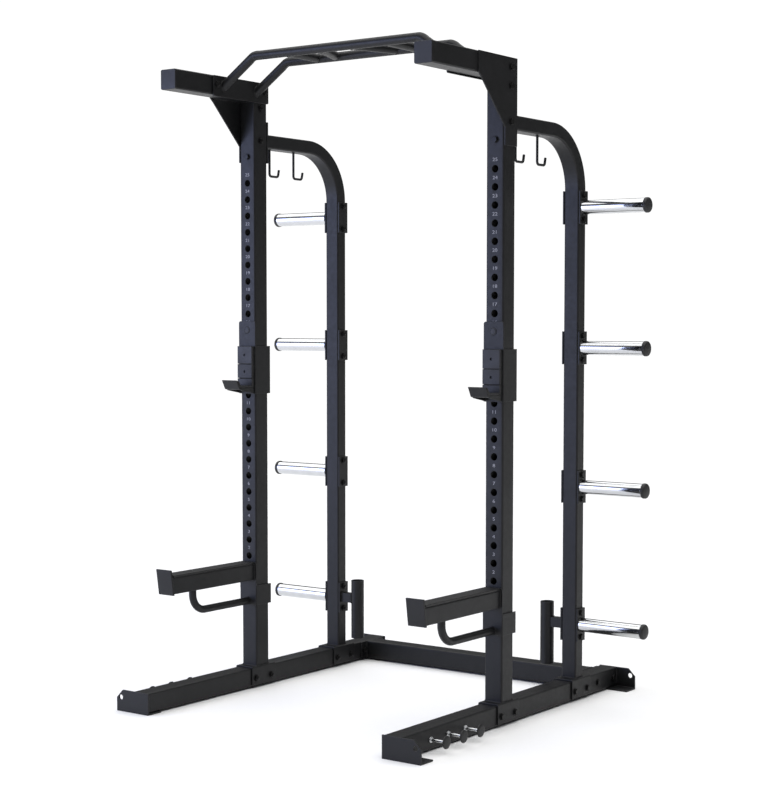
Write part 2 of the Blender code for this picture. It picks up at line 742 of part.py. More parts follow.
def safety_arm(side):
    x = side * UPRIGHT_HALF_SPACING
    z = SAFETY_PIN_Z
    front = -SLIDE_GAP - CUP_PLATE
    body = wrap_bracket(x, z - SAFETY_U_BOTTOM, z - SAFETY_U_TOP, z + SAFETY_PLATE_TOP)
    centre = z + SAFETY_CENTRE
    half = SAFETY_TUBE / 2
    corner = SAFETY_CORNER
    end = front + OVERLAP
    tube = bar(x - half, x + half, -SAFETY_REACH, end, centre - half, centre + half, "y", corner)
    for vert in tube.data.vertices:
        if vert.co.y < -SAFETY_REACH + OVERLAP:
            rise = (vert.co.z - z + STOP_BOTTOM) / (STOP_TOP + STOP_BOTTOM)
            vert.co.y -= STOP_LEAN * rise
    stop_half = TUBE / 2
    outline = (
        (-SAFETY_REACH + STOP_PLATE / 2, z - STOP_BOTTOM),
        (-SAFETY_REACH - STOP_PLATE / 2, z - STOP_BOTTOM),
        (-SAFETY_REACH - STOP_PLATE / 2 - STOP_LEAN, z + STOP_TOP),
        (-SAFETY_REACH + STOP_PLATE / 2 - STOP_LEAN, z + STOP_TOP),
    )
    stop = side_plate(outline, x - stop_half, x + stop_half)
    low = z - BRACE_DROP
    path = (
        (x, -BRACE_Y, centre - half + 2 * OVERLAP),
        (x, -BRACE_Y, low),
        (x, front + OVERLAP, low),
    )
    brace = rod(path, BRACE_DIAMETER, BRACE_BEND, 16, 8)
    made = union(body, pin(x, z), tube, stop, brace)
    wall = WALL
    hollow = block(
        x - half + wall,
        x + half - wall,
        -SAFETY_REACH + STOP_PLATE + 0.004,
        front - 0.004,
        centre - half + wall,
        centre + half - wall,
    )
    vent = cylinder((x, -SAFETY_REACH + 0.04, centre - half), "z", VENT_HOLE, 0.02, 12)
    return cut(made, hollow, vent)


def safety_pad(side):
    """Plastic strip along the top of a safety arm."""
    x = side * UPRIGHT_HALF_SPACING
    bottom = SAFETY_PIN_Z + SAFETY_CENTRE + SAFETY_TUBE / 2 + GAP
    half = SAFETY_TUBE / 2 - 0.001
    start = -SAFETY_REACH + STOP_PLATE / 2 + 0.001
    end = -SLIDE_GAP - CUP_PLATE - GAP
    return bar(x - half, x + half, start, end, bottom, bottom + SAFETY_PAD, "y", 0.002)


def peg_plate(side, z):
    """U plate round the outer, rear and inner sides of a rear upright."""
    x = side * UPRIGHT_HALF_SPACING
    inner = REAR_WIDTH / 2 + GAP
    outer = inner + PEG_PLATE
    y0 = REAR_Y - REAR_DEPTH / 2
    y1 = REAR_Y + REAR_DEPTH / 2 + GAP
    z0 = z - PEG_PLATE_HEIGHT / 2
    z1 = z + PEG_PLATE_HEIGHT / 2
    body = block(x - outer, x + outer, y0, y1 + PEG_PLATE, z0, z1)
    slot = block(x - inner, x + inner, y0 - 0.01, y1, z0 - 0.01, z1 + 0.01)
    cut(body, slot)
    heads = []
    for end in (-1, 1):
        level = z + end * PEG_BOLT_SPACING / 2
        heads.append(bolt_head((x + outer, REAR_Y, level), "x", 1))
        heads.append(bolt_head((x - outer, REAR_Y, level), "x", -1))
    return union(body, *heads)


def plate_peg(side, z):
    """Round storage peg with a slightly wider domed end, turned about its own axis."""
    root = UPRIGHT_HALF_SPACING + REAR_WIDTH / 2 + 2 * GAP + PEG_PLATE
    radius = PEG_DIAMETER / 2
    end = PEG_END_DIAMETER / 2
    profile = (
        (0.0, 0.0),
        (0.0, radius),
        (PEG_LENGTH - PEG_CAP, radius),
        (PEG_LENGTH - 0.7 * PEG_CAP, end),
        (PEG_LENGTH - 0.7 * PEG_DOME, end),
        (PEG_LENGTH - 0.15 * PEG_DOME, end - PEG_DOME),
        (PEG_LENGTH, 0.0),
    )
    bm = bmesh.new()
    line = [bm.verts.new((side * (root + run), REAR_Y, z + r)) for run, r in profile]
    edges = [bm.edges.new(pair) for pair in zip(line, line[1:])]
    bmesh.ops.spin(
        bm,
        geom=edges,
        cent=(0, REAR_Y, z),
        axis=(1, 0, 0),
        dvec=(0, 0, 0),
        angle=2 * math.pi,
        steps=PEG_SEGMENTS,
        use_merge=True,
        use_duplicate=False,
    )
    bmesh.ops.remove_doubles(bm, verts=bm.verts, dist=0.00005)
    return wrap("peg", bm)


def bar_holder(side):
    """Upright tube for a barbell end, on a stub beside the lowest peg plate."""
    x = side * (UPRIGHT_HALF_SPACING - HOLDER_OFFSET)
    middle = (HOLDER_TOP + HOLDER_BOTTOM) / 2
    height = HOLDER_TOP - HOLDER_BOTTOM
    tube = cylinder((x, REAR_Y, middle), "z", HOLDER_DIAMETER, height, HOLDER_SEGMENTS)
    root = side * (UPRIGHT_HALF_SPACING - REAR_WIDTH / 2 - 2 * GAP - PEG_PLATE)
    half_y = STUB_WIDTH / 2
    half_z = STUB_HEIGHT / 2
    stub = block(root, x, REAR_Y - half_y, REAR_Y + half_y, PEG_LOW - half_z, PEG_LOW + half_z)
    bore = cylinder(
        (x, REAR_Y, middle + HOLDER_FLOOR),
        "z",
        HOLDER_BORE,
        height,
        HOLDER_SEGMENTS,
    )
    return cut(union(tube, stub), bore)


def band_peg(side, y):
    """Thin peg with a wide flat head on the outer face of a base beam."""
    root = UPRIGHT_HALF_SPACING + TUBE / 2 + GAP
    radius = BAND_PEG_DIAMETER / 2
    head = BAND_PEG_HEAD / 2
    collar = BAND_PEG_COLLAR / 2
    profile = (
        (0.0, 0.0),
        (0.0, collar),
        (BAND_PEG_COLLAR_LENGTH, collar),
        (BAND_PEG_COLLAR_LENGTH, radius),
        (BAND_PEG_LENGTH - BAND_PEG_RIM, radius),
        (BAND_PEG_LENGTH - BAND_PEG_RIM, head),
        (BAND_PEG_LENGTH - BAND_PEG_RIM / 3, head),
        (BAND_PEG_LENGTH, head - 2 * BAND_PEG_RIM / 3),
        (BAND_PEG_LENGTH, 0.0),
    )
    bm = bmesh.new()
    line = [bm.verts.new((side * (root + run), y, BAND_PEG_Z + r)) for run, r in profile]
    edges = [bm.edges.new(pair) for pair in zip(line, line[1:])]
    bmesh.ops.spin(
        bm,
        geom=edges,
        cent=(0, y, BAND_PEG_Z),
        axis=(1, 0, 0),
        dvec=(0, 0, 0),
        angle=2 * math.pi,
        steps=BAND_PEG_SEGMENTS,
        use_merge=True,
        use_duplicate=False,
    )
    bmesh.ops.remove_doubles(bm, verts=bm.verts, dist=0.00005)
    return wrap("band_peg", bm)


def hook(side, y):
    """J-shaped rod hanging from the level run of a rear upright."""
    x = side * UPRIGHT_HALF_SPACING
    top = REAR_TOP - REAR_DEPTH / 2 - GAP
    bottom = top - HOOK_DROP
    corners = (
        (x, y, top),
        (x, y, bottom),
        (x, y + HOOK_WIDTH, bottom),
        (x, y + HOOK_WIDTH + HOOK_FLARE, bottom + HOOK_TIP),
    )
    return rod(corners, HOOK_DIAMETER, HOOK_BEND, 12, 4)


def crossbar():
    """Rear cross member with a bolting flange welded to each end."""
    reach = UPRIGHT_HALF_SPACING - TUBE / 2 - GAP
    z = BEAM_BOTTOM + TUBE / 2
    half = TUBE / 2
    tube = bar(
        -reach + OVERLAP,
        reach - OVERLAP,
        CROSSBAR_Y - half,
        CROSSBAR_Y + half,
        z - half,
        z + half,
        "x",
        CORNER,
    )
    parts = []
    for side in (-1, 1):
        inner = side * (reach - SADDLE_PLATE)
        y0 = CROSSBAR_Y - CROSSBAR_FLANGE / 2
        y1 = CROSSBAR_Y + CROSSBAR_FLANGE / 2
        parts.append(block(side * reach, inner, y0, y1, z - half + 0.001, z + half - 0.001))
        for end in (-1, 1):
            bolt_y = CROSSBAR_Y + end * CROSSBAR_BOLT_SPACING / 2
            parts.append(bolt_head((inner, bolt_y, z), "x", -side))
    made = union(tube, *parts)
    inside = half - WALL
    hollow = bar(
        -reach - OVERLAP,
        reach + OVERLAP,
        CROSSBAR_Y - inside,
        CROSSBAR_Y + inside,
        z - inside,
        z + inside,
        "x",
        CORNER - WALL,
    )
    return cut(made, hollow)


def base_beam(side):
    x = side * UPRIGHT_HALF_SPACING
    z = BEAM_BOTTOM + TUBE / 2
    start = BEAM_FRONT + PLATE + GAP
    end = BEAM_REAR - PLATE - GAP
    made = box_tube(x, None, z, TUBE, TUBE, start, end, "y")
    heads = []
    for end in (-1, 1):
        bolt_y = CROSSBAR_Y + end * CROSSBAR_BOLT_SPACING / 2
        heads.append(bolt_head((x + side * TUBE / 2, bolt_y, z), "x", side))
    return union(made, *heads)


def main():
    for old in list(bpy.data.objects):
        bpy.data.objects.remove(old)
    for side, tag in ((-1, "left"), (1, "right")):
        x = side * UPRIGHT_HALF_SPACING
        finish(base_beam(side), "base_beam_" + tag, POWDER)
        finish(foot(side, True), "foot_front_" + tag, POWDER)
        finish(foot(side, False), "foot_rear_" + tag, POWDER)
        finish(saddle(side, TUBE / 2), "front_saddle_" + tag, POWDER)
        finish(saddle(side, REAR_Y), "rear_saddle_" + tag, POWDER)
        finish(front_upright(side), "front_upright_" + tag, POWDER)
        finish(rear_upright(side), "rear_upright_" + tag, POWDER)
        finish(top_arm(side), "top_arm_" + tag, POWDER)
        finish(gusset(side), "gusset_" + tag, POWDER)
        finish(bar_plate(side), "bar_plate_" + tag, POWDER)
        cup_origin = (x, 0.0, CUP_PIN_Z)
        finish(bar_cup(side), "bar_cup_" + tag, POWDER, cup_origin)
        finish(cup_pad(side), "cup_pad_" + tag, PLASTIC, cup_origin)
        arm_origin = (x, 0.0, SAFETY_PIN_Z)
        finish(safety_arm(side), "safety_arm_" + tag, POWDER, arm_origin)
        finish(safety_pad(side), "safety_pad_" + tag, PLASTIC, arm_origin)
        for row in range(PEG_COUNT):
            z = PEG_LOW + row * PEG_SPACING
            number = str(row + 1)
            finish(peg_plate(side, z), "peg_plate_" + tag + "_" + number, POWDER)
            finish(plate_peg(side, z), "plate_peg_" + tag + "_" + number, CHROME)
        finish(bar_holder(side), "bar_holder_" + tag, POWDER)
        for place, y in enumerate(BAND_PEG_Y):
            finish(band_peg(side, y), "band_peg_" + tag + "_" + str(place + 1), ZINC)
        for place, y in enumerate(HOOK_Y):
            finish(hook(side, y), "hook_" + tag + "_" + str(place + 1), POWDER)
    finish(crossbar(), "rear_crossbar", POWDER)
    finish(pull_up_bar(), "pull_up_bar", POWDER)


main()
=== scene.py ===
"""Finished model of a half rack with plate storage.

Every steel member, bracket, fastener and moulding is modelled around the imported
frame, with powder-coated, chromed, zinc-plated and moulded finishes. Metres, +Z up,
front of the rack towards -Y.
"""

import math

import bmesh
import bpy
from bpy.props import FloatProperty, FloatVectorProperty, IntProperty, PointerProperty
from mathutils import Matrix, Vector


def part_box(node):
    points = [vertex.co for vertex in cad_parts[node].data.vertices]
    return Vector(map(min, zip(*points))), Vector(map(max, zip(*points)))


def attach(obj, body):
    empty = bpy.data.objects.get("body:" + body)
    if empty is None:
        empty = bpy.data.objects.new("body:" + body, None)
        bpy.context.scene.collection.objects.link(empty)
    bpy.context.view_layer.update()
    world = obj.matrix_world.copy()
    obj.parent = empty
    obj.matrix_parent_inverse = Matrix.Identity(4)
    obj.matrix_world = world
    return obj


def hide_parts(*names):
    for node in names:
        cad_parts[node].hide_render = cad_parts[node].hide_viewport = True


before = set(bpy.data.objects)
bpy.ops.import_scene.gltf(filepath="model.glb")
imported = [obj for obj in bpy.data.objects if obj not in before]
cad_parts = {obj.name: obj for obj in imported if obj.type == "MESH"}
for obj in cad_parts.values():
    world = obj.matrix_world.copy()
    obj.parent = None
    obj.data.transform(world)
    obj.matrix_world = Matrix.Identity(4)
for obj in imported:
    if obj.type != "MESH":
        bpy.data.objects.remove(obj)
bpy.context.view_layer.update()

bl_info = {
    "name": "Half Rack",
    "version": (1, 0, 0),
    "blender": (4, 5, 0),
    "location": "View3D > Sidebar > Half Rack",
    "description": "Half rack with plate storage, bar cups and safety arms",
    "category": "Object",
}

SIDES = ((-1, "left"), (1, "right"))

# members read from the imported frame
ARM_LOW, ARM_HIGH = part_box("top_arm_right")
TUBE = ARM_HIGH.z - ARM_LOW.z
UPRIGHT_X = (ARM_LOW.x + ARM_HIGH.x) / 2
FACE_Y = ARM_HIGH.y - TUBE
UPRIGHT_LOW, UPRIGHT_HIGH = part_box("front_upright_right")
BEAM_LOW, BEAM_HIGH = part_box("base_beam_right")
BAR_LOW, BAR_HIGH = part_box("rear_crossbar")
BEAM_MIDDLE_Z = (BEAM_LOW.z + BEAM_HIGH.z) / 2
CROSSBAR_Y = (BAR_LOW.y + BAR_HIGH.y) / 2
GUSSET_LOW, GUSSET_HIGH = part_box("gusset_right")
PEG_LOW, PEG_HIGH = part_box("plate_peg_right_1")
REAR_Y = (PEG_LOW.y + PEG_HIGH.y) / 2
HAIR = 0.0003               # clearance between neighbouring pieces
UP = Vector((0.0, 0.0, 1.0))


# ---------------------------------------------------------------- settings


class RACK_PG_steel(bpy.types.PropertyGroup):
    """Sizes of the steel members."""

    tube_corner: FloatProperty(
        name="Tube corner", description="Outside corner radius of the square tubes",
        default=0.006, min=0.001, max=0.015, unit="LENGTH")
    tube_wall: FloatProperty(
        name="Tube wall", description="Wall thickness of the tubes",
        default=0.003, min=0.001, max=0.008, unit="LENGTH")
    edge_radius: FloatProperty(
        name="Edge radius", description="Softening of cut plate edges",
        default=0.0009, min=0.0001, max=0.003, unit="LENGTH")
    weld_radius: FloatProperty(
        name="Weld radius", description="Half width of a weld bead",
        default=0.0030, min=0.001, max=0.006, unit="LENGTH")
    hole_pitch: FloatProperty(
        name="Hole pitch", description="Distance between adjustment holes",
        default=0.060, min=0.03, max=0.12, unit="LENGTH")
    hole_diameter: FloatProperty(
        name="Hole diameter", description="Diameter of the adjustment holes",
        default=0.025, min=0.01, max=0.04, unit="LENGTH")
    first_hole: FloatProperty(
        name="First hole", description="Height of the lowest adjustment hole",
        default=0.433, min=0.2, max=1.0, unit="LENGTH")
    hole_count: IntProperty(
        name="Hole count", description="Number of adjustment holes in each upright",
        default=25, min=1, max=30)
    rear_width: FloatProperty(
        name="Rear width", description="Width of the rear uprights",
        default=0.060, min=0.03, max=0.08, unit="LENGTH")
    rear_depth: FloatProperty(
        name="Rear depth", description="Depth of the rear uprights",
        default=0.050, min=0.03, max=0.08, unit="LENGTH")
    bend_radius: FloatProperty(
        name="Bend radius", description="Centre-line radius of the rear uprights' bend",
        default=0.195, min=0.1, max=0.3, unit="LENGTH")


class RACK_PG_hardware(bpy.types.PropertyGroup):
    """Sizes of bolts, pegs, pins and printed numbers."""

    bolt_flats: FloatProperty(
        name="Bolt across flats", description="Width of the hexagon heads",
        default=0.019, min=0.008, max=0.03, unit="LENGTH")
    bolt_height: FloatProperty(
        name="Bolt height", description="Height of a head with its washer",
        default=0.008, min=0.004, max=0.015, unit="LENGTH")
    washer_diameter: FloatProperty(
        name="Washer diameter", description="Outside diameter of the washers",
        default=0.026, min=0.012, max=0.04, unit="LENGTH")
    washer_thickness: FloatProperty(
        name="Washer thickness", description="Thickness of the washers",
        default=0.0018, min=0.0005, max=0.004, unit="LENGTH")
    pin_diameter: FloatProperty(
        name="Pin diameter", description="Diameter of the locating pins",
        default=0.0235, min=0.01, max=0.04, unit="LENGTH")
    peg_diameter: FloatProperty(
        name="Peg diameter", description="Diameter of the plate storage pegs",
        default=0.050, min=0.02, max=0.06, unit="LENGTH")
    bar_diameter: FloatProperty(
        name="Bar diameter", description="Diameter of the pull-up bars",
        default=0.032, min=0.02, max=0.05, unit="LENGTH")
    number_height: FloatProperty(
        name="Number size", description="Type size of the printed hole numbers",
        default=0.016, min=0.005, max=0.04, unit="LENGTH")
    number_stretch: FloatProperty(
        name="Number stretch", description="Widening of the printed hole numbers",
        default=1.35, min=0.5, max=2.0)


class RACK_PG_finish(bpy.types.PropertyGroup):
    """Colours of the finishes."""

    coat: FloatVectorProperty(
        name="Powder coat", description="Colour of the powder coat",
        subtype="COLOR", size=3, min=0.0, max=1.0, default=(0.0062, 0.0064, 0.0070))
    coat_light: FloatVectorProperty(
        name="Powder coat light", description="Lighter tint in the powder coat's mottle",
        subtype="COLOR", size=3, min=0.0, max=1.0, default=(0.0095, 0.0097, 0.0108))
    chrome: FloatVectorProperty(
        name="Chrome", description="Colour of the chrome plating",
        subtype="COLOR", size=3, min=0.0, max=1.0, default=(0.62, 0.63, 0.64))
    zinc: FloatVectorProperty(
        name="Zinc", description="Colour of the zinc plating",
        subtype="COLOR", size=3, min=0.0, max=1.0, default=(0.58, 0.59, 0.60))
    plastic: FloatVectorProperty(
        name="Plastic", description="Colour of the moulded plastic",
        subtype="COLOR", size=3, min=0.0, max=1.0, default=(0.0048, 0.0048, 0.0055))
    oxide: FloatVectorProperty(
        name="Black oxide", description="Colour of the blackened bolts",
        subtype="COLOR", size=3, min=0.0, max=1.0, default=(0.0060, 0.0060, 0.0062))
    ink: FloatVectorProperty(
        name="Number ink", description="Colour of the printed hole numbers",
        subtype="COLOR", size=3, min=0.0, max=1.0, default=(0.30, 0.30, 0.33))


class RACK_PG_stage(bpy.types.PropertyGroup):
    """Floor and light levels."""

    floor: FloatVectorProperty(
        name="Floor", description="Colour of the floor",
        subtype="COLOR", size=3, min=0.0, max=1.0, default=(0.90, 0.90, 0.90))
    ambient: FloatProperty(
        name="Ambient", description="Strength of the surrounding light",
        default=0.30, min=0.0, max=3.0)
    overhead: FloatProperty(
        name="Overhead light", description="Strength of the broad overhead light",
        default=3.15, min=0.0, max=20.0)
    front_power: FloatProperty(
        name="Front light", description="Power of the soft front light",
        default=225.0, min=0.0, max=3000.0, unit="POWER")


# ---------------------------------------------------------------- finishes


def node_tree(name):
    """A new material with its tree, its Principled shader and Object coordinates."""
    made = bpy.data.materials.new(name)
    made.use_nodes = True
    tree = made.node_tree
    shader = tree.nodes["Principled BSDF"]
    place = tree.nodes.new("ShaderNodeTexCoord")
    return made, tree, shader, place.outputs["Object"]


def noise(tree, where, scale, detail=3.0, roughness=0.5):
    """A noise texture on the given coordinates."""
    node = tree.nodes.new("ShaderNodeTexNoise")
    node.inputs["Scale"].default_value = scale
    node.inputs["Detail"].default_value = detail
    node.inputs["Roughness"].default_value = roughness
    tree.links.new(where, node.inputs["Vector"])
    return node.outputs["Fac"]


def ramp(tree, source, low, high, start=0.0, end=1.0):
    """Two-stop colour ramp between two colours or greys."""
    node = tree.nodes.new("ShaderNodeValToRGB")
    first, last = node.color_ramp.elements
    first.position, last.position = start, end
    first.color = (*low, 1.0) if hasattr(low, "__len__") else (low, low, low, 1.0)
    last.color = (*high, 1.0) if hasattr(high, "__len__") else (high, high, high, 1.0)
    tree.links.new(source, node.inputs["Fac"])
    return node.outputs["Color"]


def blend_colour(tree, factor, first, second, mode="MIX"):
    """Mixes two colours, each a socket or a fixed colour."""
    node = tree.nodes.new("ShaderNodeMix")
    node.data_type = "RGBA"
    node.blend_type = mode
    for socket, value in ((node.inputs["A"], first), (node.inputs["B"], second)):
        if isinstance(value, bpy.types.NodeSocket):
            tree.links.new(value, socket)
        else:
            socket.default_value = (*value, 1.0)
    if isinstance(factor, bpy.types.NodeSocket):
        tree.links.new(factor, node.inputs["Factor"])
    else:
        node.inputs["Factor"].default_value = factor
    return node.outputs["Result"]


def bump(tree, height, distance, strength=1.0, below=None):
    """A bump from a height, over another bump if one is given."""
    node = tree.nodes.new("ShaderNodeBump")
    node.inputs["Distance"].default_value = distance
    node.inputs["Strength"].default_value = strength
    tree.links.new(height, node.inputs["Height"])
    if below is not None:
        tree.links.new(below, node.inputs["Normal"])
    return node.outputs["Normal"]


def powder_coat(name, colour, light, roughness=0.42):
    """Satin powder coat: orange peel, fine grain, mottle, dust, and edges painted lighter, partly
    as worn coat and partly as a painted highlight.
    """
    made, tree, shader, where = node_tree(name)
    mottle = noise(tree, where, 7.0, 4.0, 0.6)
    grain = noise(tree, where, 1500.0, 2.0)
    peel = noise(tree, where, 420.0, 2.5)
    scuff = noise(tree, where, 60.0, 6.0, 0.72)
    base = ramp(tree, mottle, colour, light, 0.35, 0.68)
    speck = ramp(tree, grain, 0.0, 1.0, 0.66, 0.78)
    base = blend_colour(tree, speck, base, tuple(1.5 * c for c in light))
    # marked edges are painted lighter: partly coat worn thin, partly a painted highlight along the
    # edges
    wear_and_highlight_mark = tree.nodes.new("ShaderNodeAttribute")
    wear_and_highlight_mark.attribute_name = "edge_wear_and_painted_highlight"
    patchy = ramp(tree, scuff, 0.15, 1.0, 0.40, 0.62)
    wear_and_painted_highlight = blend_colour(tree, 1.0, wear_and_highlight_mark.outputs["Color"], patchy, "MULTIPLY")
    base = blend_colour(tree, wear_and_painted_highlight, base, tuple(1.8 * c + 0.006 for c in light))
    tree.links.new(base, shader.inputs["Base Color"])
    rough = ramp(tree, scuff, roughness - 0.05, roughness + 0.09, 0.30, 0.72)
    tree.links.new(rough, shader.inputs["Roughness"])
    shader.inputs["Specular IOR Level"].default_value = 0.30
    fine = bump(tree, grain, 0.00004, 0.35)
    tree.links.new(bump(tree, peel, 0.00016, 0.55, fine), shader.inputs["Normal"])
    return made


def plated(name, colour, roughness, brushed):
    """Bright plating with faint clouding, hairline polishing marks and handling haze."""
    made, tree, shader, where = node_tree(name)
    stretch = tree.nodes.new("ShaderNodeMapping")
    stretch.inputs["Scale"].default_value = (1.0, 22.0, 22.0)
    tree.links.new(where, stretch.inputs["Vector"])
    cloud = noise(tree, where, 26.0, 4.0, 0.6)
    hair = noise(tree, stretch.outputs["Vector"], 60.0, 3.0)
    base = ramp(tree, cloud, tuple(0.90 * c for c in colour), colour, 0.30, 0.70)
    tree.links.new(base, shader.inputs["Base Color"])
    rough = ramp(tree, cloud, roughness, roughness + 0.10, 0.35, 0.75)
    tree.links.new(rough, shader.inputs["Roughness"])
    shader.inputs["Metallic"].default_value = 1.0
    fine = bump(tree, hair, 0.00003, brushed)
    tree.links.new(bump(tree, cloud, 0.0004, 0.05, fine), shader.inputs["Normal"])
    return made


def moulded(name, colour, roughness=0.5):
    """Moulded plastic with a fine spark-eroded grain and slight flow clouding."""
    made, tree, shader, where = node_tree(name)
    cloud = noise(tree, where, 18.0, 3.0)
    base = ramp(tree, cloud, colour, tuple(1.35 * c for c in colour), 0.35, 0.70)
    cells = tree.nodes.new("ShaderNodeTexVoronoi")
    cells.inputs["Scale"].default_value = 900.0
    tree.links.new(where, cells.inputs["Vector"])
    tree.links.new(base, shader.inputs["Base Color"])
    rough = ramp(tree, cloud, roughness - 0.04, roughness + 0.08, 0.3, 0.7)
    tree.links.new(rough, shader.inputs["Roughness"])
    tree.links.new(
        bump(tree, cells.outputs["Distance"], 0.00012, 0.5), shader.inputs["Normal"])
    return made


def blackened(name, colour):
    """Oiled black-oxide steel of bolts and washers."""
    made, tree, shader, where = node_tree(name)
    cloud = noise(tree, where, 240.0, 4.0, 0.6)
    base = ramp(tree, cloud, colour, tuple(1.9 * c for c in colour), 0.35, 0.72)
    tree.links.new(base, shader.inputs["Base Color"])
    rough = ramp(tree, cloud, 0.30, 0.46, 0.3, 0.7)
    tree.links.new(rough, shader.inputs["Roughness"])
    shader.inputs["Metallic"].default_value = 0.55
    tree.links.new(bump(tree, cloud, 0.00006, 0.4), shader.inputs["Normal"])
    return made


def printed(name, colour):
    """Matt screen-printed ink with thin patches."""
    made, tree, shader, where = node_tree(name)
    thin = noise(tree, where, 700.0, 3.0)
    base = ramp(tree, thin, tuple(0.7 * c for c in colour), colour, 0.30, 0.55)
    tree.links.new(base, shader.inputs["Base Color"])
    shader.inputs["Roughness"].default_value = 0.55
    tree.links.new(bump(tree, thin, 0.00003, 0.4), shader.inputs["Normal"])
    return made


def finish_of(kind):
    """The named finish, made the first time it is asked for."""
    found = bpy.data.materials.get(kind)
    if found is not None:
        return found
    tint = bpy.context.scene.rack_finish
    if kind == "satin_black_coat":
        return powder_coat(kind, tuple(tint.coat), tuple(tint.coat_light))
    if kind == "polished_chrome":
        return plated(kind, tuple(tint.chrome), 0.06, 0.25)
    if kind == "bright_zinc":
        return plated(kind, tuple(tint.zinc), 0.22, 0.5)
    if kind == "moulded_black":
        return moulded(kind, tuple(tint.plastic))
    if kind == "black_oxide":
        return blackened(kind, tuple(tint.oxide))
    if kind == "number_ink":
        return printed(kind, tuple(tint.ink))
    raise RuntimeError("there is no finish named " + kind)


# ---------------------------------------------------------------- shaping

WELD_STEP = 0.0015           # length of one row of faces in a weld bead
WELD_RIPPLE = 0.0042         # spacing of the ripples in a weld bead
FINE_WELD = 0.0022           # half width of the beads on thin plate
BAR_WELD = 0.0024            # half width of the beads on bars and stubs
BRACE_WELD = 0.0026          # half width of the beads on the safety arms' braces
STUD_PROUD = 0.0030          # stud end past its nut
SINK = 0.001                 # how far a joined part reaches into its neighbour


def blank():
    """An empty bmesh with the layer that marks edges painted lighter, as wear and as a painted
    highlight.
    """
    bm = bmesh.new()
    bm.faces.layers.float.new("edge_wear_and_painted_highlight")
    return bm


def soften(bm, radius, segments=2, edges=None, angle=40.0, wear_and_painted_highlight=True):
    """Rounds edges, all the sharp ones if none are given, and marks them for the lighter edge
    paint of wear and painted highlight.
    """
    if edges is None:
        limit = math.radians(angle)
        edges = [e for e in bm.edges if len(e.link_faces) == 2 and e.calc_face_angle() > limit]
    made = bmesh.ops.bevel(
        bm, geom=edges, offset=radius, offset_type="OFFSET", affect="EDGES",
        segments=segments, profile=0.5, material=-1, clamp_overlap=True)
    # new bevel faces are marked for the lighter edge paint: wear and painted highlight
    if wear_and_painted_highlight:
        layer = bm.faces.layers.float["edge_wear_and_painted_highlight"]
        for face in made["faces"]:
            face[layer] = 1.0
    return made["faces"]


def new_verts(made):
    """The vertices among an operator's new geometry."""
    return [item for item in made["geom"] if isinstance(item, bmesh.types.BMVert)]


def edges_between(made, verts):
    """The edges of an operator's new geometry that lie between the given vertices."""
    there = set(verts)
    return [item for item in made["geom"]
            if isinstance(item, bmesh.types.BMEdge) and set(item.verts) <= there]


def aimed(direction):
    """The turn that carries +Z to a direction."""
    return UP.rotation_difference(Vector(direction)).to_matrix().to_4x4()


def pour(bm, part):
    """Moves everything in one bmesh into another."""
    mesh = bpy.data.meshes.new("part")
    part.to_mesh(mesh)
    part.free()
    bm.from_mesh(mesh)
    bpy.data.meshes.remove(mesh)


def absorb(bm, part):
    """Adds a closed part to a bmesh, with its faces outwards."""
    bmesh.ops.recalc_face_normals(part, faces=part.faces)
    if part.calc_volume(signed=True) < 0:
        bmesh.ops.reverse_faces(part, faces=part.faces)
    pour(bm, part)


def publish(name, bm, finish, replaced=(), body="frame"):
    """Turns a bmesh into a piece that rides on a body and stands for CAD nodes."""
    mesh = bpy.data.meshes.new(name)
    bm.to_mesh(mesh)
    bm.free()
    mesh.materials.append(finish_of(finish))
    mesh.shade_smooth()
    mesh.set_sharp_from_angle(angle=math.radians(50))
    made = bpy.data.objects.new(name, mesh)
    bpy.context.scene.collection.objects.link(made)
    level = made.modifiers.new("even_normals", "WEIGHTED_NORMAL")
    level.keep_sharp = True
    level.weight = 80
    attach(made, body)
    if replaced:
        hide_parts(*replaced)
    return made


def box_bm(low, high):
    """A block between two corners, as its own bmesh."""
    part = blank()
    low, high = Vector(low), Vector(high)
    size = Vector((abs(high.x - low.x), abs(high.y - low.y), abs(high.z - low.z)))
    place = Matrix.Translation((low + high) / 2) @ Matrix.Diagonal((*size, 1.0))
    bmesh.ops.create_cube(part, size=1.0, matrix=place)
    return part


def edges_along(part, axis, test=None):
    """The edges that run along an axis, with an optional test on their middle."""
    found = []
    for edge in part.edges:
        run = edge.verts[1].co - edge.verts[0].co
        if abs(run[axis]) > 0.95 * run.length:
            middle = (edge.verts[0].co + edge.verts[1].co) / 2
            if test is None or test(middle):
                found.append(edge)
    return found


def add_block(bm, low, high, radius):
    """A block with softened edges."""
    part = box_bm(low, high)
    soften(part, radius)
    absorb(bm, part)


def add_tube(bm, low, high, axis, corner, end_radius):
    """A closed tube with rounded long edges and softened ends."""
    part = box_bm(low, high)
    soften(part, corner, 6, edges_along(part, axis), wear_and_painted_highlight=False)
    ends = [e for e in part.edges if len(e.link_faces) == 2 and e.calc_face_angle() > 1.2]
    soften(part, end_radius, 2, ends)
    absorb(bm, part)


def thicken(part, faces, axis, distance):
    """Extrudes flat faces along an axis into a closed solid."""
    grown = bmesh.ops.extrude_face_region(part, geom=faces, use_keep_orig=True)
    shift = Vector((0.0, 0.0, 0.0))
    shift[axis] = distance
    bmesh.ops.translate(part, vec=shift, verts=new_verts(grown))
    bmesh.ops.recalc_face_normals(part, faces=part.faces)


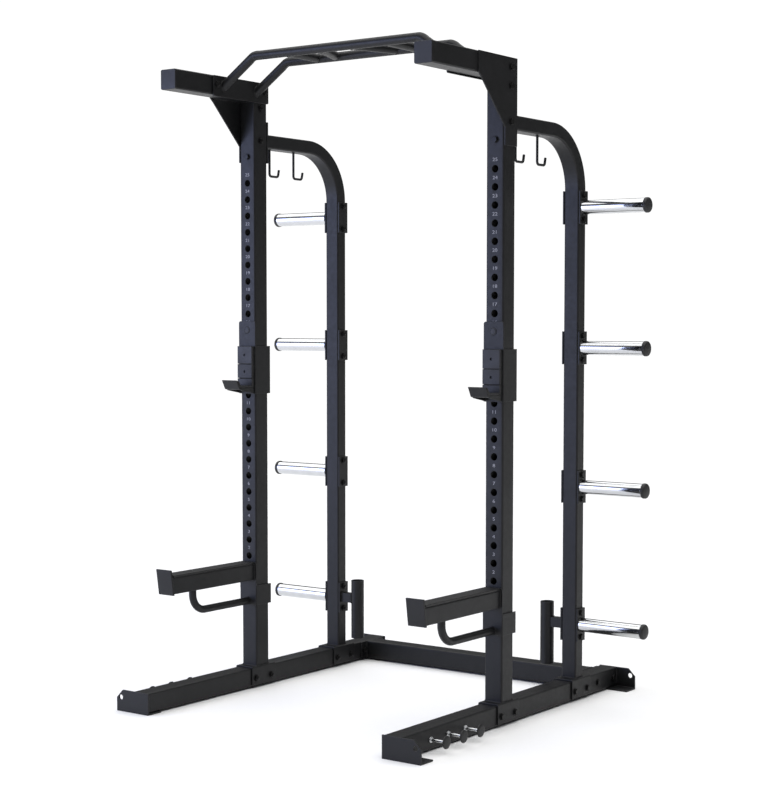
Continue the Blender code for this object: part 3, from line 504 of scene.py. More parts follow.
def fold_outline(bm, outline, axis, start, end, folds=(), fold_radius=0.004, radius=0.0009):
    """A plate or folded sheet: an outline extruded along an axis, its folds rounded.

    The outline lies in the two other axes, in their order. Folds are outline corners
    given by index with a radius factor.
    """
    part = blank()
    others = [k for k in range(3) if k != axis]
    corners = []
    for first, second in outline:
        point = Vector((0.0, 0.0, 0.0))
        point[others[0]], point[others[1]], point[axis] = first, second, start
        corners.append(part.verts.new(point))
    face = part.faces.new(corners)
    thicken(part, [face], axis, end - start)
    for index, factor in folds:
        first, second = outline[index]

        def near(middle, a=first, b=second):
            return abs(middle[others[0]] - a) < 1e-5 and abs(middle[others[1]] - b) < 1e-5

        soften(part, fold_radius * factor, 5, edges_along(part, axis, near), wear_and_painted_highlight=False)
    soften(part, radius)
    absorb(bm, part)


def pierced_plate(bm, outline, holes, start, end, radius=0.0009):
    """An upright plate across Y with round holes, each hole (x, z, diameter)."""
    part = blank()
    ring = [part.verts.new((x, start, z)) for x, z in outline]
    edges = [part.edges.new(pair) for pair in zip(ring, ring[1:] + ring[:1])]
    for x, z, diameter in holes:
        made = bmesh.ops.create_circle(
            part, segments=32, radius=diameter / 2,
            matrix=Matrix.Translation((x, start, z)) @ Matrix.Rotation(math.pi / 2, 4, "X"))
        edges += list({e for v in made["verts"] for e in v.link_edges})
    bmesh.ops.triangle_fill(part, use_beauty=True, use_dissolve=False, edges=edges)
    thicken(part, part.faces[:], 1, end - start)
    soften(part, radius)
    absorb(bm, part)


def turned(bm, profile, base, direction, segments=48, wear_and_painted_highlight=()):
    """A turned shape: (along, radius) profile points spun about a line."""
    part = blank()
    place = Matrix.Translation(Vector(base)) @ aimed(direction)
    line = [part.verts.new((radius, 0.0, along)) for along, radius in profile]
    edges = [part.edges.new(pair) for pair in zip(line, line[1:])]
    bmesh.ops.spin(
        part, geom=line + edges, cent=(0, 0, 0), axis=(0, 0, 1), dvec=(0, 0, 0),
        angle=2 * math.pi, steps=segments, use_merge=True, use_duplicate=False)
    bmesh.ops.remove_doubles(part, verts=part.verts, dist=0.000005)
    bmesh.ops.transform(part, matrix=place, verts=part.verts)
    # faces in the given spans are marked for the lighter edge paint: wear and painted highlight
    layer = part.faces.layers.float["edge_wear_and_painted_highlight"]
    back = place.inverted()
    for face in part.faces:
        along = (back @ face.calc_center_median()).z
        if any(low <= along <= high for low, high in wear_and_painted_highlight):
            face[layer] = 1.0
    absorb(bm, part)


def rounded(start, end, steps=5):
    """Profile points of a quarter round from a flank to a face, both (along, radius)."""
    (a0, r0), (a1, r1) = start, end
    points = []
    for step in range(steps + 1):
        angle = math.pi / 2 * step / steps
        points.append((a0 + (a1 - a0) * math.sin(angle), r1 + (r0 - r1) * math.cos(angle)))
    return points


def add_bolt(bm, at, direction, stud=False):
    """A hexagon head or nut on its washer, with a stud end for a nut."""
    size = bpy.context.scene.rack_hardware
    direction = Vector(direction)
    thick = size.washer_thickness
    wide = size.washer_diameter / 2
    turned(bm, ((0.0, 0.0), (0.0, wide), (thick - 0.0004, wide), (thick, wide - 0.0005),
                (thick, 0.0)), at, direction, 32, ((thick - 0.0005, thick),))
    part = blank()
    height = size.bolt_height - thick
    radius = size.bolt_flats / 2 / math.cos(math.pi / 6)
    bmesh.ops.create_cone(
        part, cap_ends=True, segments=6, radius1=radius, radius2=radius, depth=height)
    top = [e for e in part.edges if all(v.co.z > 0 for v in e.verts)]
    soften(part, 0.0011, 3, top)
    sides = edges_along(part, 2)
    soften(part, 0.0004, 2, sides)
    tightened = math.radians((at[0] * 7919 + at[1] * 6007 + at[2] * 4001) % 60)
    place = (
        Matrix.Translation(Vector(at) + direction * (thick + height / 2))
        @ aimed(direction) @ Matrix.Rotation(tightened, 4, "Z"))
    bmesh.ops.transform(part, matrix=place, verts=part.verts)
    absorb(bm, part)
    if stud:
        stub = size.bolt_flats * 0.30
        profile = ((0.0, 0.0), (0.0, stub), (STUD_PROUD - 0.0008, stub),
                   (STUD_PROUD, stub - 0.0012), (STUD_PROUD, 0.0))
        turned(bm, profile, Vector(at) + direction * (thick + height), direction, 20)


def add_weld(bm, path, normal, radius, closed=True):
    """A rippled weld bead along a path, round in section and tapered where it ends."""
    points = [Vector(p) for p in path]
    if closed:
        points.append(points[0])
    spans = [(b - a).length for a, b in zip(points, points[1:])]
    total = sum(spans)
    steps = max(6, round(total / WELD_STEP))
    part = blank()
    grid = bmesh.ops.create_grid(part, x_segments=steps, y_segments=6, size=0.5)
    normal = Vector(normal)
    for vert in grid["verts"]:
        along = (vert.co.x + 0.5) * total
        angle = (vert.co.y + 0.5) * 2 * math.pi
        left, index = along, 0
        while index < len(spans) - 1 and left > spans[index]:
            left -= spans[index]
            index += 1
        run = (points[index + 1] - points[index]).normalized()
        centre = points[index] + run * min(left, spans[index])
        side = run.cross(normal).normalized()
        rise = side.cross(run).normalized()
        ripple = (along / WELD_RIPPLE) % 1.0
        swell = radius * (0.90 + 0.16 * ripple + 0.05 * math.sin(along * 310.0))
        if not closed:
            swell *= math.sqrt(max(0.0, min(1.0, along / radius, (total - along) / radius)))
        vert.co = centre + (side * math.cos(angle) + rise * math.sin(angle)) * swell
    bmesh.ops.remove_doubles(part, verts=part.verts, dist=0.00002)
    if closed:
        rims = [e for e in part.edges if e.is_boundary]
        bmesh.ops.bridge_loops(part, edges=rims)
    absorb(bm, part)


def loop_xy(x, y, half_x, half_y, corner, z):
    """Points of a rounded rectangle in a level plane."""
    points = []
    for sx, sy, start in ((1, 1, 0), (-1, 1, 90), (-1, -1, 180), (1, -1, 270)):
        for step in range(5):
            angle = math.radians(start + 22.5 * step)
            points.append((
                x + sx * (half_x - corner) + corner * math.cos(angle),
                y + sy * (half_y - corner) + corner * math.sin(angle),
                z))
    return points


def swap(points, order):
    """Reorders coordinates, to stand a loop up in another plane."""
    return [tuple(p[k] for k in order) for p in points]


def ring_round(centre, direction, radius, count=40):
    """Points of a circle about a line."""
    aim = aimed(direction).to_3x3()
    points = []
    for step in range(count):
        angle = 2 * math.pi * step / count
        spoke = aim @ Vector((math.cos(angle), math.sin(angle), 0.0))
        points.append(Vector(centre) + spoke * radius)
    return points


def drill(bm, at, direction, diameter, depth):
    """Cuts a round blind hole into a closed bmesh and returns the cut bmesh."""
    tool = blank()
    radius = diameter / 2
    turned(tool, ((-0.01, 0.0), (-0.01, radius), (depth, radius), (depth, 0.0)),
           at, direction, 32)
    holders = []
    for shape in (bm, tool):
        mesh = bpy.data.meshes.new("drilled")
        shape.to_mesh(mesh)
        shape.free()
        holders.append(bpy.data.objects.new("drilled", mesh))
        bpy.context.scene.collection.objects.link(holders[-1])
    cutting = holders[0].modifiers.new("hole", "BOOLEAN")
    cutting.operation = "DIFFERENCE"
    cutting.solver = "EXACT"
    cutting.object = holders[1]
    graph = bpy.context.evaluated_depsgraph_get()
    mesh = bpy.data.meshes.new_from_object(holders[0].evaluated_get(graph))
    made = bmesh.new()
    made.from_mesh(mesh)
    bpy.data.meshes.remove(mesh)
    for holder in holders:
        shape = holder.data
        bpy.data.objects.remove(holder)
        bpy.data.meshes.remove(shape)
    return made


class Run:
    """A profile ring carried along straight lengths and bends."""

    def __init__(self, bm, ring, at, heading):
        self.bm = bm
        self.ring = ring
        self.at = Vector(at)
        self.heading = Vector(heading).normalized()

    def go(self, length):
        """Carries the ring straight ahead."""
        grown = bmesh.ops.extrude_edge_only(self.bm, edges=self.ring)
        moved = new_verts(grown)
        self.ring = edges_between(grown, moved)
        bmesh.ops.translate(self.bm, vec=self.heading * length, verts=moved)
        self.at = self.at + self.heading * length
        return self

    def turn(self, axis, angle, radius, steps):
        """Carries the ring round a bend about an axis."""
        axis = Vector(axis).normalized()
        centre = self.at + axis.cross(self.heading) * radius
        spun = bmesh.ops.spin(
            self.bm, geom=self.ring, cent=centre, axis=axis, dvec=(0, 0, 0),
            angle=angle, steps=steps, use_merge=False, use_duplicate=False)
        self.ring = [item for item in spun["geom_last"] if isinstance(item, bmesh.types.BMEdge)]
        rotate = Matrix.Rotation(angle, 3, axis)
        self.at = centre + rotate @ (self.at - centre)
        self.heading = rotate @ self.heading
        return self

    def close(self, round_off=0.0):
        """Caps the end, and rounds its rim if a radius is given."""
        made = bmesh.ops.edgeloop_fill(self.bm, edges=self.ring)
        if round_off:
            rim = list(made["faces"][0].edges)
            soften(self.bm, round_off, 4, rim, wear_and_painted_highlight=False)
        return self


def round_run(at, heading, diameter, segments=28):
    """Starts a round bar with a closed end."""
    part = blank()
    heading = Vector(heading).normalized()
    made = bmesh.ops.create_circle(
        part, cap_ends=True, segments=segments, radius=diameter / 2,
        matrix=Matrix.Translation(Vector(at)) @ aimed(heading))
    ring = list({e for v in made["verts"] for e in v.link_edges})
    return part, Run(part, ring, at, heading)


# ---------------------------------------------------------------- members


def upright_shell(bm, x, y, low, pitch, half, corner, hole, lip):
    """One pitch of a square tube's skin with a hole in the front and rear faces."""
    part = box_bm((x - half, y - half, low), (x + half, y + half, low + pitch))
    level = [f for f in part.faces if abs(f.normal.z) > 0.9]
    bmesh.ops.delete(part, geom=level, context="FACES_ONLY")
    soften(part, corner, 5, edges_along(part, 2), wear_and_painted_highlight=False)
    layer = part.faces.layers.float["edge_wear_and_painted_highlight"]
    for sign in (-1, 1):
        wall = next(
            f for f in part.faces
            if f.normal.y * sign > 0.99 and abs(f.calc_center_median().x - x) < 0.001)
        centre = wall.calc_center_median()
        bmesh.ops.subdivide_edges(part, edges=list(wall.edges), cuts=7)
        wall = max(
            (f for f in part.faces if f.normal.y * sign > 0.99), key=lambda f: f.calc_area())
        bmesh.ops.inset_individual(part, faces=[wall], thickness=0.004, use_even_offset=True)
        for vert in wall.verts:
            across, rise = vert.co.x - centre.x, vert.co.z - centre.z
            if abs(across) >= abs(rise):
                angle = math.pi / 4 * rise / across + (math.pi if across < 0 else 0.0)
            else:
                angle = math.pi / 2 - math.pi / 4 * across / rise + (math.pi if rise < 0 else 0.0)
            vert.co.x = centre.x + math.cos(angle) * (hole + lip)
            vert.co.z = centre.z + math.sin(angle) * (hole + lip)
        if lip:
            made = bmesh.ops.inset_individual(
                part, faces=[wall], thickness=lip, depth=-lip, use_even_offset=True)
            # the hole's lip is marked for the lighter edge paint: wear and painted highlight
            for face in made["faces"]:
                face[layer] = 1.0
        bmesh.ops.delete(part, geom=[wall], context="FACES_ONLY")
    pour(bm, part)


def perforated_upright(x, y, bottom, top):
    """A hollow square tube with a row of holes through its front and rear walls."""
    size = bpy.context.scene.rack_steel
    part = blank()
    half = TUBE / 2
    low = size.first_hole - size.hole_pitch / 2
    radius = size.hole_diameter / 2
    upright_shell(part, x, y, low, size.hole_pitch, half, size.tube_corner, radius, 0.0007)
    wall = size.tube_wall
    inner_corner = size.tube_corner - wall
    upright_shell(part, x, y, low, size.hole_pitch, half - wall, inner_corner, radius, 0.0)
    for sign in (-1, 1):
        rims = [
            e for e in part.edges
            if e.is_boundary and all((v.co.y - y) * sign > half - wall - 0.001 for v in e.verts)
            and all(low + 0.005 < v.co.z < low + size.hole_pitch - 0.005 for v in e.verts)]
        bmesh.ops.bridge_loops(part, edges=rims)
    first = part.verts[:] + part.edges[:] + part.faces[:]
    for step in range(1, size.hole_count):
        made = bmesh.ops.duplicate(part, geom=first)
        bmesh.ops.translate(
            part, vec=(0, 0, step * size.hole_pitch), verts=new_verts(made))
    bmesh.ops.remove_doubles(part, verts=part.verts, dist=0.00001)
    for level, target in ((low, bottom), (low + size.hole_count * size.hole_pitch, top)):
        rim = [e for e in part.edges if all(abs(v.co.z - level) < 1e-5 for v in e.verts)
               and e.is_boundary]
        grown = bmesh.ops.extrude_edge_only(part, edges=rim)
        moved = new_verts(grown)
        bmesh.ops.translate(part, vec=(0, 0, target - level), verts=moved)
        bmesh.ops.bridge_loops(part, edges=edges_between(grown, moved))
    return part


class RACK_OT_base_beams(bpy.types.Operator):
    """Square base beams with the bolts that hold the crossbar."""

    bl_idname = "rack.base_beams"
    bl_label = "Base beams"

    def execute(self, context):
        size = context.scene.rack_steel
        half = TUBE / 2
        for side, tag in SIDES:
            x = side * UPRIGHT_X
            bm = blank()
            add_tube(
                bm, (x - half, BEAM_LOW.y, BEAM_LOW.z), (x + half, BEAM_HIGH.y, BEAM_HIGH.z),
                1, size.tube_corner, 0.0006)
            publish("base_beam_tube_" + tag, bm, "satin_black_coat", ("base_beam_" + tag,))
            bolts = blank()
            for end in (-1, 1):
                at = (x + side * half, CROSSBAR_Y + end * CROSSBAR_BOLT, BEAM_MIDDLE_Z)
                add_bolt(bolts, at, (side, 0, 0))
            publish("beam_bolts_" + tag, bolts, "black_oxide")
        return {"FINISHED"}


CROSSBAR_BOLT = 0.055        # flange bolts either side of the crossbar
CROSSBAR_FLANGE = 0.005
EAR_CHAMFER = 0.028          # cut corner of a foot's ear
EAR_HOLE = 0.018
EAR_HOLE_INSET = 0.020       # hole centre from the ear's edge
EAR_HOLE_HEIGHT = 0.050
FOOT_PLATE = 0.006


class RACK_OT_foot_plates(bpy.types.Operator):
    """Folded foot plates with a pierced ear, welded to the beam ends."""

    bl_idname = "rack.foot_plates"
    bl_label = "Foot plates"

    def execute(self, context):
        size = context.scene.rack_steel
        for side, tag in SIDES:
            for place, front in (("front", -1), ("rear", 1)):
                node = "foot_" + place + "_" + tag
                low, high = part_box(node)
                inner = low.x if side > 0 else high.x
                outer = high.x if side > 0 else low.x
                face = low.y if front < 0 else high.y
                back = face - front * FOOT_PLATE
                top = high.z
                bm = blank()
                outline = (
                    (inner, 0.0), (outer, 0.0), (outer, top - EAR_CHAMFER),
                    (outer - side * EAR_CHAMFER, top), (inner, top))
                hole = (outer - side * EAR_HOLE_INSET, EAR_HOLE_HEIGHT, EAR_HOLE)
                pierced_plate(bm, outline, (hole,), face, back)
                far = high.y if front < 0 else low.y
                add_block(bm, (inner, min(back + front * 0.0005, far), 0.0),
                          (outer, max(back + front * 0.0005, far), FOOT_PLATE), size.edge_radius)
                path = ((inner, back, FOOT_PLATE), (outer - side * 0.002, back, FOOT_PLATE))
                add_weld(bm, path, (0, -front, 1), FINE_WELD, closed=False)
                half = TUBE / 2
                x = side * UPRIGHT_X
                beam_end = BEAM_LOW.y if front < 0 else BEAM_HIGH.y
                z0, z1 = BEAM_LOW.z + 0.004, BEAM_HIGH.z - 0.006
                for edge in (x - half, x + half):
                    add_weld(bm, ((edge, beam_end, z0), (edge, beam_end, z1)),
                             (0, -front, 0), size.weld_radius, closed=False)
                publish("foot_plate_" + place + "_" + tag, bm, "satin_black_coat", (node,))
        return {"FINISHED"}


SADDLE_PLATE = 0.005
SADDLE_BOLT = 0.0425         # bolts either side of a saddle's middle
SADDLE_BOLT_LOWER = 0.004    # bolts below the middle of the beam


class RACK_OT_saddles(bpy.types.Operator):
    """Folded saddles that straddle the beams, welded under the uprights."""

    bl_idname = "rack.saddles"
    bl_label = "Saddles"

    def execute(self, context):
        size = context.scene.rack_steel
        inner = TUBE / 2 + HAIR
        outer = inner + SADDLE_PLATE
        for side, tag in SIDES:
            x = side * UPRIGHT_X
            bolts = blank()
            for place in ("front", "rear"):
                node = place + "_saddle_" + tag
                low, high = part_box(node)
                under = BEAM_HIGH.z + HAIR
                outline = (
                    (x - outer, low.z), (x - inner, low.z), (x - inner, under),
                    (x + inner, under), (x + inner, low.z), (x + outer, low.z),
                    (x + outer, high.z), (x - outer, high.z))
                bm = blank()
                fold_outline(bm, outline, 1, low.y, high.y, ((6, 1.0), (7, 1.0)), 0.005)
                middle = (low.y + high.y) / 2
                if place == "front":
                    loop = loop_xy(x, middle, TUBE / 2, TUBE / 2, size.tube_corner, high.z)
                else:
                    loop = loop_xy(x, middle, size.rear_width / 2, size.rear_depth / 2,
                                   size.tube_corner, high.z)
                add_weld(bm, loop, UP, size.weld_radius)
                publish(place + "_saddle_plate_" + tag, bm, "satin_black_coat", (node,))
                for end in (-1, 1):
                    for face in (-1, 1):
                        at = (x + face * outer, middle + end * SADDLE_BOLT,
                              BEAM_MIDDLE_Z - SADDLE_BOLT_LOWER)
                        add_bolt(bolts, at, (face, 0, 0), stud=face == -side)
            publish("saddle_bolts_" + tag, bolts, "black_oxide")
        return {"FINISHED"}


# heights below the top arms
BEND_BOLT_Z = ARM_HIGH.z - 0.271
GUSSET_BOLTS_Z = (ARM_HIGH.z - 0.031, ARM_LOW.z - 0.024, ARM_LOW.z - 0.142)
NUMBER_THICKNESS = 0.00006   # half the thickness of the printed ink
NUMBER_PROUD = 0.00007


class RACK_OT_front_uprights(bpy.types.Operator):
    """Perforated front uprights with their printed hole numbers."""

    bl_idname = "rack.front_uprights"
    bl_label = "Front uprights"

    def execute(self, context):
        size = context.scene.rack_steel
        y = FACE_Y + TUBE / 2
        for side, tag in SIDES:
            x = side * UPRIGHT_X
            bm = blank()
            absorb(bm, perforated_upright(x, y, UPRIGHT_LOW.z, UPRIGHT_HIGH.z))
            publish("front_upright_tube_" + tag, bm, "satin_black_coat",
                    ("front_upright_" + tag,))
            bolts = blank()
            add_bolt(bolts, (x, FACE_Y, BEND_BOLT_Z), (0, -1, 0))
            for level in GUSSET_BOLTS_Z[1:]:
                add_bolt(bolts, (x - side * TUBE / 2, y, level), (-side, 0, 0), stud=True)
            publish("upright_bolts_" + tag, bolts, "black_oxide")
            numbers = blank()
            for count in range(size.hole_count):
                letters = bpy.data.curves.new("number", "FONT")
                letters.body = str(count + 1)
                letters.size = context.scene.rack_hardware.number_height
                letters.align_x = "CENTER"
                letters.align_y = "CENTER"
                letters.extrude = NUMBER_THICKNESS
                letters.resolution_u = 4
                holder = bpy.data.objects.new("number", letters)
                mesh = bpy.data.meshes.new_from_object(holder)
                z = size.first_hole + (count + 0.5) * size.hole_pitch
                place = Matrix.Translation((x, FACE_Y - NUMBER_PROUD, z))
                stretch = context.scene.rack_hardware.number_stretch
                widen = Matrix.Diagonal((stretch, 1.0, 1.0, 1.0))
                mesh.transform(place @ Matrix.Rotation(math.pi / 2, 4, "X") @ widen)
                numbers.from_mesh(mesh)
                bpy.data.meshes.remove(mesh)
                bpy.data.objects.remove(holder)
                bpy.data.curves.remove(letters)
            bmesh.ops.remove_doubles(numbers, verts=numbers.verts, dist=0.000002)
            bmesh.ops.dissolve_degenerate(numbers, edges=numbers.edges, dist=0.000002)
            bmesh.ops.recalc_face_normals(numbers, faces=numbers.faces)
            publish("hole_numbers_" + tag, numbers, "number_ink")
        return {"FINISHED"}


BEND_FLANGE = 0.008          # thickness of the flange on the bend's end
BEND_FLANGE_TOP = ARM_HIGH.z - 0.140
BEND_FLANGE_BOTTOM = ARM_HIGH.z - 0.291
REAR_TOP = ARM_HIGH.z - 0.210   # centre line of the level run


class RACK_OT_rear_uprights(bpy.types.Operator):
    """Bent rear uprights with the flange that bolts them to the front uprights."""

    bl_idname = "rack.rear_uprights"
    bl_label = "Rear uprights"

    def execute(self, context):
        size = context.scene.rack_steel
        half_w, half_d = size.rear_width / 2, size.rear_depth / 2
        start = FACE_Y + TUBE + HAIR + BEND_FLANGE
        for side, tag in SIDES:
            x = side * UPRIGHT_X
            part = blank()
            made = bmesh.ops.create_grid(
                part, x_segments=1, y_segments=1, size=1.0,
                matrix=Matrix.Translation((x, start, REAR_TOP))
                @ Matrix.Rotation(math.pi / 2, 4, "X")
                @ Matrix.Diagonal((half_w, half_d, 1.0, 1.0)))
            bmesh.ops.bevel(
                part, geom=made["verts"], offset=size.tube_corner, offset_type="OFFSET",
                affect="VERTICES", segments=6, profile=0.5, material=-1)
            run = Run(part, list(part.edges), (x, start, REAR_TOP), (0, 1, 0))
            run.go(REAR_Y - size.bend_radius - start)
            run.turn((-1, 0, 0), math.pi / 2, size.bend_radius, 40)
            run.go(run.at.z - UPRIGHT_LOW.z)
            run.close()
            bm = blank()
            absorb(bm, part)
            near = FACE_Y + TUBE + HAIR
            add_block(bm, (x - TUBE / 2, near, BEND_FLANGE_BOTTOM),
                      (x + TUBE / 2, near + BEND_FLANGE, BEND_FLANGE_TOP), size.edge_radius)
            loop = swap(loop_xy(x, REAR_TOP, half_w, half_d, size.tube_corner, start), (0, 2, 1))
            add_weld(bm, loop, (0, 1, 0), size.weld_radius)
            publish("rear_upright_tube_" + tag, bm, "satin_black_coat",
                    ("rear_upright_" + tag,))
            bolts = blank()
            add_bolt(bolts, (x, near + BEND_FLANGE, BEND_BOLT_Z), (0, 1, 0), stud=True)
            publish("bend_bolt_" + tag, bolts, "black_oxide")
        return {"FINISHED"}


CAP_THICKNESS = 0.0025


class RACK_OT_top_arms(bpy.types.Operator):
    """Top arms with moulded end caps."""

    bl_idname = "rack.top_arms"
    bl_label = "Top arms"

    def execute(self, context):
        size = context.scene.rack_steel
        for side, tag in SIDES:
            node = "top_arm_" + tag
            low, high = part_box(node)
            bm = blank()
            add_tube(bm, (low.x, low.y + CAP_THICKNESS, low.z),
                     (high.x, high.y - CAP_THICKNESS, high.z), 1, size.tube_corner, 0.0005)
            half = TUBE / 2
            x, y = side * UPRIGHT_X, FACE_Y + TUBE / 2
            loop = loop_xy(x, y, half, half, size.tube_corner, low.z)
            add_weld(bm, loop, -UP, size.weld_radius)
            publish("top_arm_tube_" + tag, bm, "satin_black_coat", (node,))
            caps = blank()
            for y0, y1 in ((low.y, low.y + CAP_THICKNESS), (high.y - CAP_THICKNESS, high.y)):
                part = box_bm((low.x + 0.0006, y0, low.z + 0.0006),
                              (high.x - 0.0006, y1, high.z - 0.0006))
                soften(part, size.tube_corner - 0.0006, 6, edges_along(part, 1), wear_and_painted_highlight=False)
                outward = y0 if y0 == low.y else y1
                rim = [e for e in part.edges if all(abs(v.co.y - outward) < 1e-6 for v in e.verts)]
                soften(part, 0.0014, 3, rim)
                absorb(caps, part)
            publish("arm_caps_" + tag, caps, "moulded_black")
        return {"FINISHED"}


GUSSET_PLATE = 0.005
GUSSET_NOSE_BACK = 0.016
GUSSET_NOSE_DROP = 0.014
GUSSET_SLOPE_END = ARM_HIGH.z - 0.232


class RACK_OT_gussets(bpy.types.Operator):
    """Side plates that tie the top arms to the uprights."""

    bl_idname = "rack.gussets"
    bl_label = "Gussets"

    def execute(self, context):
        size = context.scene.rack_steel
        y = FACE_Y + TUBE / 2
        for side, tag in SIDES:
            near = side * (UPRIGHT_X + TUBE / 2 + HAIR)
            far = near + side * GUSSET_PLATE
            low, high = GUSSET_LOW, GUSSET_HIGH
            outline = (
                (high.y, high.z), (low.y, high.z), (low.y, ARM_LOW.z),
                (low.y + GUSSET_NOSE_BACK, ARM_LOW.z - GUSSET_NOSE_DROP),
                (FACE_Y, GUSSET_SLOPE_END), (FACE_Y, low.z), (high.y, low.z))
            bm = blank()
            fold_outline(bm, outline, 0, near, far)
            inside = side * (UPRIGHT_X + TUBE / 2 - SINK)
            path = ((inside, low.y + 0.014, ARM_LOW.z), (inside, FACE_Y - 0.004, ARM_LOW.z))
            add_weld(bm, path, (0, 0, 1), size.weld_radius, closed=False)
            front = side * (UPRIGHT_X + TUBE / 2)
            path = ((front, low.y, ARM_LOW.z + 0.008), (front, low.y, high.z - 0.008))
            add_weld(bm, path, (0, 1, 0), FINE_WELD, closed=False)
            publish("gusset_plate_" + tag, bm, "satin_black_coat", ("gusset_" + tag,))
            bolts = blank()
            for level in GUSSET_BOLTS_Z:
                add_bolt(bolts, (far, y, level), (side, 0, 0))
            publish("gusset_bolts_" + tag, bolts, "black_oxide")
        return {"FINISHED"}


BAR_ROWS = (-0.168, 0.012)   # front and rear bar behind the uprights' front face
BAR_Z = 2.300                # centre line of the level run
BAR_ROOT_Z = 2.205           # centre line where the bars meet the end plates
BAR_BEND_X = 0.362
BAR_BEND_RADIUS = 0.050
GRIP_OUTER_X = 0.213
GRIP_INNER_X = (0.066, 0.135)    # at the front and at the rear bar
BAR_BOLT_ROWS = (-0.206, 0.052)  # end plate bolts behind the uprights' front face
BAR_PLATE = 0.006


class RACK_OT_pull_up_bar(bpy.types.Operator):
    """Twin pull-up bars with cross grips, welded to bolted end plates."""

    bl_idname = "rack.pull_up_bar"
    bl_label = "Pull-up bar"

    def execute(self, context):
        size = context.scene.rack_steel
        across = context.scene.rack_hardware.bar_diameter
        reach = UPRIGHT_X - TUBE / 2 - HAIR - BAR_PLATE
        slope = math.atan2(BAR_Z - BAR_ROOT_Z, reach - BAR_BEND_X)
        cut_back = BAR_BEND_RADIUS * math.tan(slope / 2)
        bm = blank()
        welds = []
        for row in BAR_ROWS:
            y = FACE_Y + row
            heading = Vector((math.cos(slope), 0.0, math.sin(slope)))
            part, run = round_run((-reach, y, BAR_ROOT_Z), heading, across, 32)
            for vert in part.verts:
                vert.co += heading * ((-reach - vert.co.x) / heading.x)
            ramp_length = (Vector((-BAR_BEND_X, y, BAR_Z)) - run.at).length
            run.go(ramp_length - cut_back)
            run.turn((0, 1, 0), slope, BAR_BEND_RADIUS, 10)
            run.go(2 * BAR_BEND_X - 2 * cut_back)
            run.turn((0, 1, 0), slope, BAR_BEND_RADIUS, 10)
            run.go(ramp_length - cut_back)
            for vert in {v for e in run.ring for v in e.verts}:
                vert.co += run.heading * ((reach - vert.co.x) / run.heading.x)
            run.close()
            absorb(bm, part)
            for side in (-1, 1):
                loop = [
                    (side * reach, y + across / 2 * math.cos(a),
                     BAR_ROOT_Z + across / 2 / math.cos(slope) * math.sin(a))
                    for a in (2 * math.pi * k / 40 for k in range(40))]
                welds.append((loop, (-side, 0, 0)))
        rows = [FACE_Y + row for row in BAR_ROWS]
        for side in (-1, 1):
            pairs = ((GRIP_OUTER_X, GRIP_OUTER_X), GRIP_INNER_X)
            for front_x, rear_x in pairs:
                first = Vector((side * front_x, rows[0], BAR_Z))
                last = Vector((side * rear_x, rows[1], BAR_Z))
                thick = across - 0.002
                part, run = round_run(first, last - first, thick, 28)
                run.go((last - first).length).close()
                absorb(bm, part)
                for end, y, sign in ((first, rows[0], 1), (last, rows[1], -1)):
                    loop = []
                    for step in range(36):
                        angle = 2 * math.pi * step / 36
                        rise = thick / 2 * math.sin(angle)
                        out = math.sqrt(max(0.0, (across / 2) ** 2 - rise ** 2))
                        lean = (rear_x - front_x) * side * out / (rows[1] - rows[0]) * sign
                        loop.append((end.x + lean + thick / 2 * math.cos(angle),
                                     y + sign * out, BAR_Z + rise))
                    welds.append((loop, (0, sign, 0)))
        for loop, normal in welds:
            add_weld(bm, loop, normal, BAR_WELD)
        publish("pull_up_bars", bm, "satin_black_coat", ("pull_up_bar",))
        for side, tag in SIDES:
            low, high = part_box("bar_plate_" + tag)
            near = side * (UPRIGHT_X - TUBE / 2 - HAIR)
            plate = blank()
            part = box_bm((near, low.y, low.z), (near - side * BAR_PLATE, high.y, high.z))
            soften(part, 0.005, 5, edges_along(part, 0), wear_and_painted_highlight=False)
            soften(part, size.edge_radius, 2, angle=50.0)
            absorb(plate, part)
            publish("bar_end_plate_" + tag, plate, "satin_black_coat", ("bar_plate_" + tag,))
            bolts = blank()
            for row in BAR_BOLT_ROWS:
                at = (near - side * BAR_PLATE, FACE_Y + row, BAR_ROOT_Z + 0.002)
                add_bolt(bolts, at, (-side, 0, 0), stud=True)
            publish("bar_plate_bolts_" + tag, bolts, "black_oxide")
        return {"FINISHED"}


SLIDE_GAP = 0.0005           # play between an upright and what slides on it
BRACKET_PLATE = 0.006        # front plate of a sliding bracket
BRACKET_SIDE = 0.005         # side plates of a sliding bracket
BRACKET_WRAP = 0.077         # side plates' depth behind the upright's front face
PIN_REACH = 0.012            # pin's depth behind the upright's front face
PIN_PROUD = 0.002
PIN_WELD = 0.0014
CUP_TOP = 0.033              # top of the cup's tongue above its hole
CUP_HOLE_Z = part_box("bar_cup_right")[1].z - CUP_TOP
CUP_SHOULDER = 0.059         # drops below the cup's hole
CUP_BOTTOM = 0.235
CUP_SHELF_DROP = 0.211
CUP_REACH = 0.107            # lip in front of the upright
CUP_RIB_REACH = 0.078
CUP_SHELF = 0.007            # shelf's thickness
CUP_LIP = 0.028              # lip's height above the shelf
CUP_LIP_PLATE = 0.006
CUP_LIP_LEAN = 0.018
PAD_THICKNESS = 0.014
PAD_FLOOR = 0.007
PAD_LIP = 0.005
PAD_GROOVES = (0.125, 0.178)   # drops below the cup's hole
PAD_SCREWS = (0.092, 0.153)
PAD_SCREW = 0.010            # diameter and depth of a screw's recess
PAD_SCREW_DEPTH = 0.004


